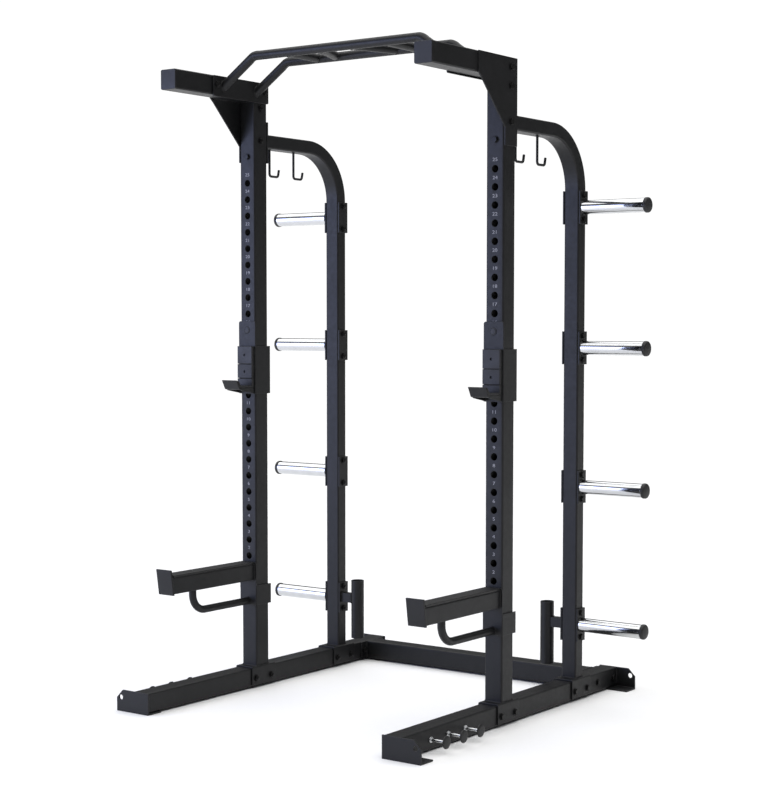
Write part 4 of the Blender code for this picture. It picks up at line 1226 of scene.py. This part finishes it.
def add_bracket(bm, x, bottom, shoulder, top):
    """A folded bracket round three sides of an upright, with a tongue above it."""
    inner = TUBE / 2 + SLIDE_GAP
    outer = inner + BRACKET_SIDE
    back = FACE_Y - SLIDE_GAP
    front = back - BRACKET_PLATE
    rear = FACE_Y + BRACKET_WRAP
    outline = (
        (x - outer, rear), (x - outer, front), (x + outer, front), (x + outer, rear),
        (x + inner, rear), (x + inner, back), (x - inner, back), (x - inner, rear))
    fold_outline(bm, outline, 2, bottom, shoulder, ((1, 1.0), (2, 1.0)), 0.004)
    part = box_bm((x - outer + 0.001, front + 0.0002, shoulder - 0.012),
                  (x + outer - 0.001, back - 0.0002, top))
    crown = edges_along(part, 1, lambda middle: middle.z > top - 0.001)
    soften(part, 0.008, 5, crown, wear_and_painted_highlight=False)
    soften(part, 0.0009, 2, angle=50.0)
    absorb(bm, part)


def pin_radius():
    """Radius of a locating pin."""
    return bpy.context.scene.rack_hardware.pin_diameter / 2


def add_pin(bm, x, z):
    """A turned locating pin with a lightly domed outer face."""
    radius = pin_radius()
    front = FACE_Y - SLIDE_GAP - BRACKET_PLATE - PIN_PROUD
    length = FACE_Y + PIN_REACH - front
    profile = (
        (0.0, 0.0), (0.0, radius - 0.002), (0.0006, radius - 0.0006), (0.0014, radius),
        (length - 0.002, radius), (length, radius - 0.002), (length, 0.0))
    turned(bm, profile, (x, front, z), (0, 1, 0), 40, ((0.0, 0.0014),))


class RACK_OT_bar_cups(bpy.types.Operator):
    """Bar cups with their moulded linings, in the hole that holds them."""

    bl_idname = "rack.bar_cups"
    bl_label = "Bar cups"

    def execute(self, context):
        z = CUP_HOLE_Z
        half = TUBE / 2
        front = FACE_Y - SLIDE_GAP - BRACKET_PLATE
        for side, tag in SIDES:
            x = side * UPRIGHT_X
            body = "bar_cup_" + tag
            bm = blank()
            add_bracket(bm, x, z - CUP_BOTTOM, z - CUP_SHOULDER, z + CUP_TOP)
            top = z - CUP_SHELF_DROP
            under = top - CUP_SHELF
            reach = FACE_Y - CUP_REACH
            foot_y = reach + CUP_LIP_LEAN
            outline = (
                (front + SINK, under), (foot_y, under), (reach, top + CUP_LIP),
                (reach + CUP_LIP_PLATE, top + CUP_LIP), (foot_y + CUP_LIP_PLATE + 0.0015, top),
                (front + SINK, top))
            fold_outline(bm, outline, 0, x - half, x + half, ((1, 1.0), (4, 0.5)), 0.005)
            rib = (
                (front + SINK, under + 0.0005), (FACE_Y - CUP_RIB_REACH, under + 0.0005),
                (FACE_Y - CUP_RIB_REACH, under - 0.003), (front + SINK, z - CUP_BOTTOM + 0.001))
            for end in (-1, 1):
                edge = x + end * half
                fold_outline(bm, rib, 0, edge, edge - end * BRACKET_SIDE)
                path = ((edge - end * BRACKET_SIDE, front, under - 0.002),
                        (edge - end * BRACKET_SIDE, front, z - CUP_BOTTOM + 0.003))
                add_weld(bm, path, (0, -1, 0), FINE_WELD, closed=False)
            path = ((x - half + 0.006, front, under), (x + half - 0.006, front, under))
            add_weld(bm, path, (0, -1, 0), BAR_WELD, closed=False)
            add_pin(bm, x, z)
            add_weld(bm, ring_round((x, front, z), (0, 1, 0), pin_radius() + 0.0006),
                     (0, -1, 0), PIN_WELD)
            publish("bar_cup_steel_" + tag, bm, "satin_black_coat", ("bar_cup_" + tag,),
                    body=body)
            self.lining(x, z, tag, body)
        return {"FINISHED"}

    def lining(self, x, z, tag, body):
        """Back pad in three blocks, floor and lip lining, with two screws."""
        half = TUBE / 2
        front = FACE_Y - SLIDE_GAP - BRACKET_PLATE - HAIR
        floor = z - CUP_SHELF_DROP + HAIR
        face = front - PAD_THICKNESS
        bm = blank()
        levels = [floor] + [z - drop for drop in reversed(PAD_GROOVES)] + [z - CUP_SHOULDER]
        for low, high in zip(levels, levels[1:]):
            part = box_bm((x - half, face, low + 0.0007), (x + half, front - 0.002, high - 0.0007))
            outer = [e for e in part.edges if all(abs(v.co.y - face) < 1e-6 for v in e.verts)]
            soften(part, 0.0022, 4, outer)
            for drop in PAD_SCREWS:
                if low < z - drop < high:
                    part = drill(part, (x, face, z - drop), (0, 1, 0), PAD_SCREW, PAD_SCREW_DEPTH)
            absorb(bm, part)
        add_block(bm, (x - half + 0.001, front - 0.0035, floor),
                  (x + half - 0.001, front, z - CUP_SHOULDER - 0.001), 0.0006)
        lip_y = FACE_Y - CUP_REACH + CUP_LIP_LEAN + CUP_LIP_PLATE + HAIR
        lip_top = z - CUP_SHELF_DROP + CUP_LIP - 0.002
        lean = CUP_LIP_LEAN * (lip_top - floor) / (CUP_SHELF + CUP_LIP)
        outline = (
            (face + 0.001, floor), (lip_y + 0.001, floor), (lip_y - lean + 0.001, lip_top),
            (lip_y - lean + PAD_LIP, lip_top), (lip_y + PAD_LIP + 0.001, floor + PAD_FLOOR),
            (face + 0.001, floor + PAD_FLOOR))
        fold_outline(bm, outline, 0, x - half + 0.001, x + half - 0.001,
                     ((4, 1.0),), 0.003, 0.0012)
        publish("bar_cup_lining_" + tag, bm, "moulded_black", ("cup_pad_" + tag,), body=body)
        screws = blank()
        for drop in PAD_SCREWS:
            base = (x, face + PAD_SCREW_DEPTH - 0.0002, z - drop)
            turned(screws, ((-0.0002, 0.0), (-0.0002, 0.0044), (0.0008, 0.0044),
                            (0.0016, 0.0036), (0.0016, 0.0020), (0.0006, 0.0018),
                            (0.0006, 0.0)), base, (0, -1, 0), 28, ((0.0008, 0.0016),))
        publish("lining_screws_" + tag, screws, "black_oxide", body=body)


ARM_TUBE = 0.060
ARM_TUBE_CORNER = 0.005
ARM_REACH = 0.438            # stop in front of the upright
ARM_CENTRE = 0.001           # tube's centre line above its hole
ARM_PLATE_TOP = 0.038        # top of the bracket's tongue above its hole
ARM_WRAP_TOP = 0.049         # top and bottom of the wrap below its hole
ARM_WRAP_BOTTOM = 0.122
STOP_PLATE = 0.008
STOP_TOP = 0.059             # top of the stop above the arm's hole
ARM_HOLE_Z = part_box("safety_arm_right")[1].z - STOP_TOP
STOP_BOTTOM = 0.032
STOP_LEAN = 0.013
BRACE_DIAMETER = 0.027
BRACE_Y = 0.306              # brace's front leg in front of the upright
BRACE_DROP = 0.108           # brace's level leg below the arm's hole
BRACE_BEND = 0.062


class RACK_OT_safety_arms(bpy.types.Operator):
    """Safety arms with end stops, bent braces and protective top strips."""

    bl_idname = "rack.safety_arms"
    bl_label = "Safety arms"

    def execute(self, context):
        size = context.scene.rack_steel
        z = ARM_HOLE_Z
        front = FACE_Y - SLIDE_GAP - BRACKET_PLATE
        half = ARM_TUBE / 2
        centre = z + ARM_CENTRE
        for side, tag in SIDES:
            x = side * UPRIGHT_X
            body = "safety_arm_" + tag
            bm = blank()
            add_bracket(bm, x, z - ARM_WRAP_BOTTOM, z - ARM_WRAP_TOP, z + ARM_PLATE_TOP)
            end = FACE_Y - ARM_REACH
            add_tube(bm, (x - half, end, centre - half), (x + half, front + SINK, centre + half),
                     1, ARM_TUBE_CORNER, 0.0004)
            stop_half = TUBE / 2
            outline = (
                (end + STOP_PLATE / 2, z - STOP_BOTTOM), (end - STOP_PLATE / 2, z - STOP_BOTTOM),
                (end - STOP_PLATE / 2 - STOP_LEAN, z + STOP_TOP),
                (end + STOP_PLATE / 2 - STOP_LEAN, z + STOP_TOP))
            fold_outline(bm, outline, 0, x - stop_half, x + stop_half, radius=0.0012)
            low = z - BRACE_DROP
            part, run = round_run((x, FACE_Y - BRACE_Y, centre - half + 0.002), (0, 0, -1),
                                  BRACE_DIAMETER, 32)
            run.go(centre - half + 0.002 - low - BRACE_BEND)
            run.turn((1, 0, 0), math.pi / 2, BRACE_BEND, 20)
            run.go(front + SINK - run.at.y).close()
            absorb(bm, part)
            add_weld(bm, ring_round((x, FACE_Y - BRACE_Y, centre - half), (0, 0, 1),
                                    BRACE_DIAMETER / 2), (0, 0, -1), BRACE_WELD)
            add_weld(bm, ring_round((x, front, low), (0, 1, 0), BRACE_DIAMETER / 2),
                     (0, -1, 0), BRACE_WELD)
            loop = swap(loop_xy(x, centre, half, half, ARM_TUBE_CORNER, front), (0, 2, 1))
            add_weld(bm, loop, (0, -1, 0), size.weld_radius)
            rise = STOP_TOP + STOP_BOTTOM
            loop = [(px, end + STOP_PLATE / 2 - STOP_LEAN * (pz - z + STOP_BOTTOM) / rise, pz)
                    for px, _, pz in loop]
            add_weld(bm, loop, (0, 1, 0), BAR_WELD)
            add_pin(bm, x, z)
            publish("safety_arm_steel_" + tag, bm, "satin_black_coat", ("safety_arm_" + tag,),
                    body=body)
            low_corner, high_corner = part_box("safety_pad_" + tag)
            strip = blank()
            part = box_bm(low_corner, high_corner)
            soften(part, 0.0025, 4, edges_along(part, 1, lambda m: m.z > low_corner.z + 0.004))
            soften(part, 0.0006, 2, angle=50.0)
            absorb(strip, part)
            publish("safety_arm_strip_" + tag, strip, "moulded_black", ("safety_pad_" + tag,),
                    body=body)
        return {"FINISHED"}


PEG_PLATE = 0.006
PEG_BOLT = 0.044             # plate bolts above and below the peg
PEG_CAP = 0.016              # length of the cap on the peg's end


class RACK_OT_plate_pegs(bpy.types.Operator):
    """Chromed plate storage pegs on bolted saddle plates."""

    bl_idname = "rack.plate_pegs"
    bl_label = "Plate pegs"

    def execute(self, context):
        size = context.scene.rack_steel
        radius = context.scene.rack_hardware.peg_diameter / 2
        inner = size.rear_width / 2 + HAIR
        outer = inner + PEG_PLATE
        for side, tag in SIDES:
            x = side * UPRIGHT_X
            for row in range(4):
                mark = tag + "_" + str(row + 1)
                low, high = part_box("plate_peg_" + mark)
                z = (low.z + high.z) / 2
                plate_low, plate_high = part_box("peg_plate_" + mark)
                y0 = plate_low.y
                y1 = plate_high.y - PEG_PLATE
                outline = (
                    (x - outer, y0), (x - inner, y0), (x - inner, y1), (x + inner, y1),
                    (x + inner, y0), (x + outer, y0), (x + outer, plate_high.y),
                    (x - outer, plate_high.y))
                bm = blank()
                fold_outline(bm, outline, 2, plate_low.z, plate_high.z,
                             ((6, 1.0), (7, 1.0)), 0.005)
                root = side * (UPRIGHT_X + outer)
                add_weld(bm, ring_round((root, REAR_Y, z), (1, 0, 0), radius),
                         (side, 0, 0), size.weld_radius)
                if row == 0:
                    self.stub_weld(bm, side, z, outer)
                publish("peg_saddle_" + mark, bm, "satin_black_coat", ("peg_plate_" + mark,))
                bolts = blank()
                for end in (-1, 1):
                    for face in (-1, 1):
                        at = (x + face * outer, REAR_Y, z + end * PEG_BOLT)
                        add_bolt(bolts, at, (face, 0, 0), stud=face == -side)
                publish("peg_bolts_" + mark, bolts, "black_oxide")
                length = high.x - low.x
                base = (side * min(abs(low.x), abs(high.x)), REAR_Y, z)
                sleeve = blank()
                step = length - PEG_CAP
                turned(sleeve, ((0.0, 0.0), (0.0, radius - 0.0008), (0.0008, radius),
                                (step, radius), (step, 0.0)), base, (side, 0, 0), 64)
                publish("peg_sleeve_" + mark, sleeve, "polished_chrome", ("plate_peg_" + mark,))
                cap = blank()
                rim = (high.z - low.z) / 2
                profile = [(step, 0.0), (step, rim - 0.0016), (step + 0.0004, rim - 0.0006),
                           (step + 0.0012, rim), (length - 0.008, rim)]
                profile += rounded((length - 0.008, rim), (length - 0.002, rim - 0.007))[1:]
                profile += [(length - 0.0008, rim * 0.45), (length, 0.0)]
                turned(cap, profile, base, (side, 0, 0), 64)
                publish("peg_cap_" + mark, cap, "moulded_black")
        return {"FINISHED"}

    def stub_weld(self, bm, side, z, outer):
        """Bead round the bar holder's stub on the lowest plate."""
        root = side * (UPRIGHT_X - outer)
        stub = loop_xy(REAR_Y, z, STUB_WIDTH / 2, STUB_HEIGHT / 2, STUB_CORNER, 0.0)
        loop = [(root, a, b) for a, b, _ in stub]
        add_weld(bm, loop, (-side, 0, 0), BAR_WELD)


STUB_WIDTH = 0.030
STUB_HEIGHT = 0.036
STUB_CORNER = 0.001
HOLDER_WALL = 0.003
HOLDER_FLOOR = 0.004


class RACK_OT_bar_holders(bpy.types.Operator):
    """Upright tubes that take the end of a bar."""

    bl_idname = "rack.bar_holders"
    bl_label = "Bar holders"

    def execute(self, context):
        size = context.scene.rack_steel
        for side, tag in SIDES:
            node = "bar_holder_" + tag
            low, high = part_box(node)
            radius = (high.y - low.y) / 2
            x = (low.x + radius) if side > 0 else (high.x - radius)
            height = high.z - low.z
            bore = radius - HOLDER_WALL
            bm = blank()
            profile = [(0.0, 0.0), (0.0, radius - 0.001), (0.001, radius),
                       (height - 0.0012, radius), (height - 0.0004, radius - 0.0004),
                       (height, radius - 0.0012), (height, bore + 0.0010),
                       (height - 0.0010, bore), (HOLDER_FLOOR, bore), (HOLDER_FLOOR, 0.0)]
            turned(bm, profile, (x, REAR_Y, low.z), (0, 0, 1), 64, ((height - 0.0012, height),))
            peg_low, peg_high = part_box("plate_peg_" + tag + "_1")
            z = (peg_low.z + peg_high.z) / 2
            root = low.x if side < 0 else high.x
            near = x + side * (bore + SINK)
            add_block(bm, (min(near, root), REAR_Y - STUB_WIDTH / 2, z - STUB_HEIGHT / 2),
                      (max(near, root), REAR_Y + STUB_WIDTH / 2, z + STUB_HEIGHT / 2),
                      size.edge_radius)
            stub = loop_xy(0.0, z, STUB_WIDTH / 2, STUB_HEIGHT / 2, STUB_CORNER, 0.0)
            loop = [(x + side * math.sqrt(radius ** 2 - a ** 2), REAR_Y + a, b)
                    for a, b, _ in stub]
            add_weld(bm, loop, (side, 0, 0), BAR_WELD)
            publish("bar_holder_tube_" + tag, bm, "satin_black_coat", (node,))
        return {"FINISHED"}


BAND_SHAFT = 0.005
BAND_COLLAR = 0.010
BAND_COLLAR_LENGTH = 0.004
BAND_HEAD_THICKNESS = 0.006


class RACK_OT_band_pegs(bpy.types.Operator):
    """Zinc-plated band pegs with wide moulded heads."""

    bl_idname = "rack.band_pegs"
    bl_label = "Band pegs"

    def execute(self, context):
        for side, tag in SIDES:
            for place in (1, 2, 3):
                mark = tag + "_" + str(place)
                low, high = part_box("band_peg_" + mark)
                length = high.x - low.x
                head = (high.z - low.z) / 2
                base = (side * min(abs(low.x), abs(high.x)), (low.y + high.y) / 2,
                        (low.z + high.z) / 2)
                back = length - BAND_HEAD_THICKNESS
                shaft = blank()
                turned(shaft, (
                    (0.0, 0.0), (0.0, BAND_COLLAR), (BAND_COLLAR_LENGTH - 0.0008, BAND_COLLAR),
                    (BAND_COLLAR_LENGTH, BAND_COLLAR - 0.0008), (BAND_COLLAR_LENGTH, BAND_SHAFT),
                    (back - 0.0030, BAND_SHAFT), (back - 0.0024, 0.0125),
                    (back - 0.0004, 0.0135), (back, 0.0130), (back, 0.0)),
                    base, (side, 0, 0), 36)
                publish("band_peg_shaft_" + mark, shaft, "bright_zinc", ("band_peg_" + mark,))
                cap = blank()
                profile = [(back, 0.0), (back, head - 0.0012), (back + 0.0006, head - 0.0003),
                           (back + 0.0016, head), (back + 0.0034, head - 0.0004),
                           (length - 0.0012, head - 0.0030), (length - 0.0003, head - 0.0070),
                           (length, head * 0.35), (length, 0.0)]
                turned(cap, profile, base, (side, 0, 0), 48, ((back, back + 0.002),))
                publish("band_peg_head_" + mark, cap, "moulded_black")
        return {"FINISHED"}


HOOK_DIAMETER = 0.009
HOOK_BEND = 0.010
HOOK_WIDTH = 0.048
HOOK_TIP = 0.027
HOOK_FLARE = 0.006
HOOK_WELD = 0.0018


class RACK_OT_hooks(bpy.types.Operator):
    """Bent rod hooks under the level run of the rear uprights."""

    bl_idname = "rack.hooks"
    bl_label = "Hooks"

    def execute(self, context):
        flare = math.atan2(HOOK_FLARE, HOOK_TIP)
        last_turn = math.pi / 2 - flare
        for side, tag in SIDES:
            for place in (1, 2):
                node = "hook_" + tag + "_" + str(place)
                low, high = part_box(node)
                x = side * UPRIGHT_X
                y = low.y + HOOK_DIAMETER / 2
                bottom = low.z + HOOK_DIAMETER / 2
                part, run = round_run((x, y, high.z), (0, 0, -1), HOOK_DIAMETER, 20)
                run.go(high.z - bottom - HOOK_BEND)
                run.turn((1, 0, 0), math.pi / 2, HOOK_BEND, 8)
                cut_back = HOOK_BEND * math.tan(last_turn / 2)
                run.go(HOOK_WIDTH - HOOK_BEND - cut_back)
                run.turn((1, 0, 0), last_turn, HOOK_BEND, 8)
                run.go(math.hypot(HOOK_TIP, HOOK_FLARE) - cut_back)
                run.close(0.002)
                bm = blank()
                absorb(bm, part)
                add_weld(bm, ring_round((x, y, high.z), (0, 0, 1), HOOK_DIAMETER / 2, 24),
                         (0, 0, -1), HOOK_WELD)
                publish("strap_hook_" + tag + "_" + str(place), bm, "satin_black_coat", (node,))
        return {"FINISHED"}


class RACK_OT_crossbar(bpy.types.Operator):
    """Rear crossbar with its welded and bolted flanges."""

    bl_idname = "rack.crossbar"
    bl_label = "Crossbar"

    def execute(self, context):
        size = context.scene.rack_steel
        low, high = BAR_LOW, BAR_HIGH
        half = TUBE / 2
        y, z = CROSSBAR_Y, BEAM_MIDDLE_Z
        bm = blank()
        bolts = blank()
        inset = CROSSBAR_FLANGE
        add_tube(bm, (low.x + inset - SINK, y - half, z - half),
                 (high.x - inset + SINK, y + half, z + half), 0, size.tube_corner, 0.0002)
        for side in (-1, 1):
            outer = high.x * side
            inner = outer - side * inset
            part = box_bm((inner, low.y, z - half + 0.001), (outer, high.y, z + half - 0.001))
            soften(part, 0.006, 5, edges_along(part, 0), wear_and_painted_highlight=False)
            soften(part, size.edge_radius, 2, angle=50.0)
            absorb(bm, part)
            loop = [(inner, a, b) for a, b, _ in loop_xy(y, z, half, half - 0.0015,
                                                         size.tube_corner, 0.0)]
            add_weld(bm, loop, (-side, 0, 0), size.weld_radius)
            for end in (-1, 1):
                add_bolt(bolts, (inner, y + end * CROSSBAR_BOLT, z), (-side, 0, 0), stud=True)
        publish("crossbar_tube", bm, "satin_black_coat", ("rear_crossbar",))
        publish("crossbar_bolts", bolts, "black_oxide")
        return {"FINISHED"}


# ---------------------------------------------------------------- stage

CAMERA_PLACE = (3.7224, -4.9584, 1.3639)
CAMERA_YAW = 35.07
CAMERA_PITCH = 3.48
CAMERA_ROLL = 0.11
CAMERA_LENS = 79.93
CAMERA_SHIFT = (-0.0626, 0.0377)
CAMERA_SENSOR = 36.0
CAMERA_REACH = 100.0
FLOOR_SPREAD = 30.0
OVERHEAD_SPREAD = 100.0      # degrees of sky that the overhead light comes from
SOFTBOX_PLACE = (-4.2, -5.2, 1.9)
SOFTBOX_AIM = (0.0, 0.0, 1.3)
SOFTBOX_SIZE = (4.2, 3.4)
SOFTBOX_TINT = (0.54, 0.62, 1.0)
BACKDROP = 1.05              # brightness of the plain surround behind the rack
SKY_FLOOR = 0.10             # surround brightness below the horizon
SKY_BANDS = ((0.10, SKY_FLOOR), (0.26, 0.30), (0.48, 0.90))   # height share, brightness


def area_light(name, place, target, size, power, colour):
    """A soft rectangular light aimed at a point."""
    lamp = bpy.data.lights.new(name, "AREA")
    lamp.shape = "RECTANGLE"
    lamp.size, lamp.size_y = size
    lamp.energy = power
    lamp.color = colour
    made = bpy.data.objects.new(name, lamp)
    bpy.context.scene.collection.objects.link(made)
    made.location = place
    aim = Vector(target) - Vector(place)
    made.rotation_euler = aim.to_track_quat("-Z", "Y").to_euler()
    return made


class RACK_OT_stage(bpy.types.Operator):
    """Pale floor, soft studio light and the camera."""

    bl_idname = "rack.stage"
    bl_label = "Stage"

    def execute(self, context):
        scene = context.scene
        setting = scene.rack_stage
        self.floor(scene, setting)
        self.lights(scene, setting)
        self.surround(scene, setting)
        self.camera(scene)
        return {"FINISHED"}

    def floor(self, scene, setting):
        part = bmesh.new()
        bmesh.ops.create_grid(part, x_segments=1, y_segments=1, size=FLOOR_SPREAD)
        mesh = bpy.data.meshes.new("floor")
        part.to_mesh(mesh)
        part.free()
        floor = bpy.data.objects.new("floor", mesh)
        scene.collection.objects.link(floor)
        made, tree, shader, where = node_tree("pale_floor")
        grain = noise(tree, where, 40.0, 4.0)
        tone = tuple(setting.floor)
        base = ramp(tree, grain, tuple(0.985 * c for c in tone), tone, 0.3, 0.7)
        tree.links.new(base, shader.inputs["Base Color"])
        shader.inputs["Roughness"].default_value = 0.75
        mesh.materials.append(made)

    def lights(self, scene, setting):
        sun = bpy.data.lights.new("overhead", "SUN")
        sun.energy = setting.overhead
        sun.angle = math.radians(OVERHEAD_SPREAD)
        over = bpy.data.objects.new("overhead", sun)
        scene.collection.objects.link(over)
        area_light("front_softbox", SOFTBOX_PLACE, SOFTBOX_AIM, SOFTBOX_SIZE,
                   setting.front_power, SOFTBOX_TINT)

    def surround(self, scene, setting):
        """White to the camera, and darker low down to everything else."""
        world = bpy.data.worlds.new("studio")
        world.use_nodes = True
        web = world.node_tree
        light = web.nodes["Background"]
        seen = web.nodes.new("ShaderNodeBackground")
        seen.inputs["Color"].default_value = (1.0, 1.0, 1.0, 1.0)
        seen.inputs["Strength"].default_value = BACKDROP
        around = web.nodes.new("ShaderNodeTexCoord")
        split = web.nodes.new("ShaderNodeSeparateXYZ")
        web.links.new(around.outputs["Generated"], split.inputs["Vector"])
        bands = web.nodes.new("ShaderNodeValToRGB")
        stops = bands.color_ramp.elements
        stops[0].position, stops[0].color = 0.0, (SKY_FLOOR, SKY_FLOOR, SKY_FLOOR, 1.0)
        stops[1].position, stops[1].color = 1.0, (1.0, 1.0, 1.0, 1.0)
        for position, level in SKY_BANDS:
            stop = stops.new(position)
            stop.color = (level, level, level, 1.0)
        web.links.new(split.outputs["Z"], bands.inputs["Fac"])
        web.links.new(bands.outputs["Color"], light.inputs["Color"])
        light.inputs["Strength"].default_value = setting.ambient
        path = web.nodes.new("ShaderNodeLightPath")
        pick = web.nodes.new("ShaderNodeMixShader")
        web.links.new(path.outputs["Is Camera Ray"], pick.inputs["Fac"])
        web.links.new(light.outputs["Background"], pick.inputs[1])
        web.links.new(seen.outputs["Background"], pick.inputs[2])
        web.links.new(pick.outputs["Shader"], web.nodes["World Output"].inputs["Surface"])
        scene.world = world
        scene.view_settings.view_transform = "Standard"
        scene.view_settings.look = "None"

    def camera(self, scene):
        data = bpy.data.cameras.new("camera")
        data.sensor_fit = "HORIZONTAL"
        data.sensor_width = CAMERA_SENSOR
        data.lens = CAMERA_LENS
        data.shift_x, data.shift_y = CAMERA_SHIFT
        data.clip_end = CAMERA_REACH
        camera = bpy.data.objects.new("camera", data)
        scene.collection.objects.link(camera)
        camera.matrix_world = (
            Matrix.Translation(CAMERA_PLACE)
            @ Matrix.Rotation(math.radians(CAMERA_YAW), 4, "Z")
            @ Matrix.Rotation(math.radians(90.0 - CAMERA_PITCH), 4, "X")
            @ Matrix.Rotation(math.radians(CAMERA_ROLL), 4, "Z"))
        scene.camera = camera


# ---------------------------------------------------------------- interface

OPERATORS = (
    RACK_OT_base_beams,
    RACK_OT_foot_plates,
    RACK_OT_saddles,
    RACK_OT_front_uprights,
    RACK_OT_rear_uprights,
    RACK_OT_top_arms,
    RACK_OT_gussets,
    RACK_OT_pull_up_bar,
    RACK_OT_bar_cups,
    RACK_OT_safety_arms,
    RACK_OT_plate_pegs,
    RACK_OT_bar_holders,
    RACK_OT_band_pegs,
    RACK_OT_hooks,
    RACK_OT_crossbar,
    RACK_OT_stage,
)


class RACK_PT_panel(bpy.types.Panel):
    """Lists the rack's sizes, finishes and pieces."""

    bl_idname = "RACK_PT_panel"
    bl_label = "Half Rack"
    bl_space_type = "VIEW_3D"
    bl_region_type = "UI"
    bl_category = "Half Rack"

    def draw(self, context):
        layout = self.layout
        scene = context.scene
        groups = (
            ("Steel", scene.rack_steel), ("Hardware", scene.rack_hardware),
            ("Finish", scene.rack_finish), ("Stage", scene.rack_stage))
        for title, group in groups:
            column = layout.column(align=True)
            column.label(text=title)
            for key in group.__annotations__:
                column.prop(group, key)
        pieces = layout.column(align=True)
        pieces.label(text="Pieces")
        for operator in OPERATORS:
            pieces.operator(operator.bl_idname)


GROUPS = (RACK_PG_steel, RACK_PG_hardware, RACK_PG_finish, RACK_PG_stage)
CLASSES = GROUPS + OPERATORS + (RACK_PT_panel,)


def register():
    for item in CLASSES:
        bpy.utils.register_class(item)
    bpy.types.Scene.rack_steel = PointerProperty(type=RACK_PG_steel)
    bpy.types.Scene.rack_hardware = PointerProperty(type=RACK_PG_hardware)
    bpy.types.Scene.rack_finish = PointerProperty(type=RACK_PG_finish)
    bpy.types.Scene.rack_stage = PointerProperty(type=RACK_PG_stage)


def unregister():
    for name in ("rack_steel", "rack_hardware", "rack_finish", "rack_stage"):
        delattr(bpy.types.Scene, name)
    for item in reversed(CLASSES):
        bpy.utils.unregister_class(item)


def main():
    register()
    for operator in OPERATORS:
        group, name = operator.bl_idname.split(".")
        getattr(getattr(bpy.ops, group), name)()


if __name__ == "__main__":
    main()
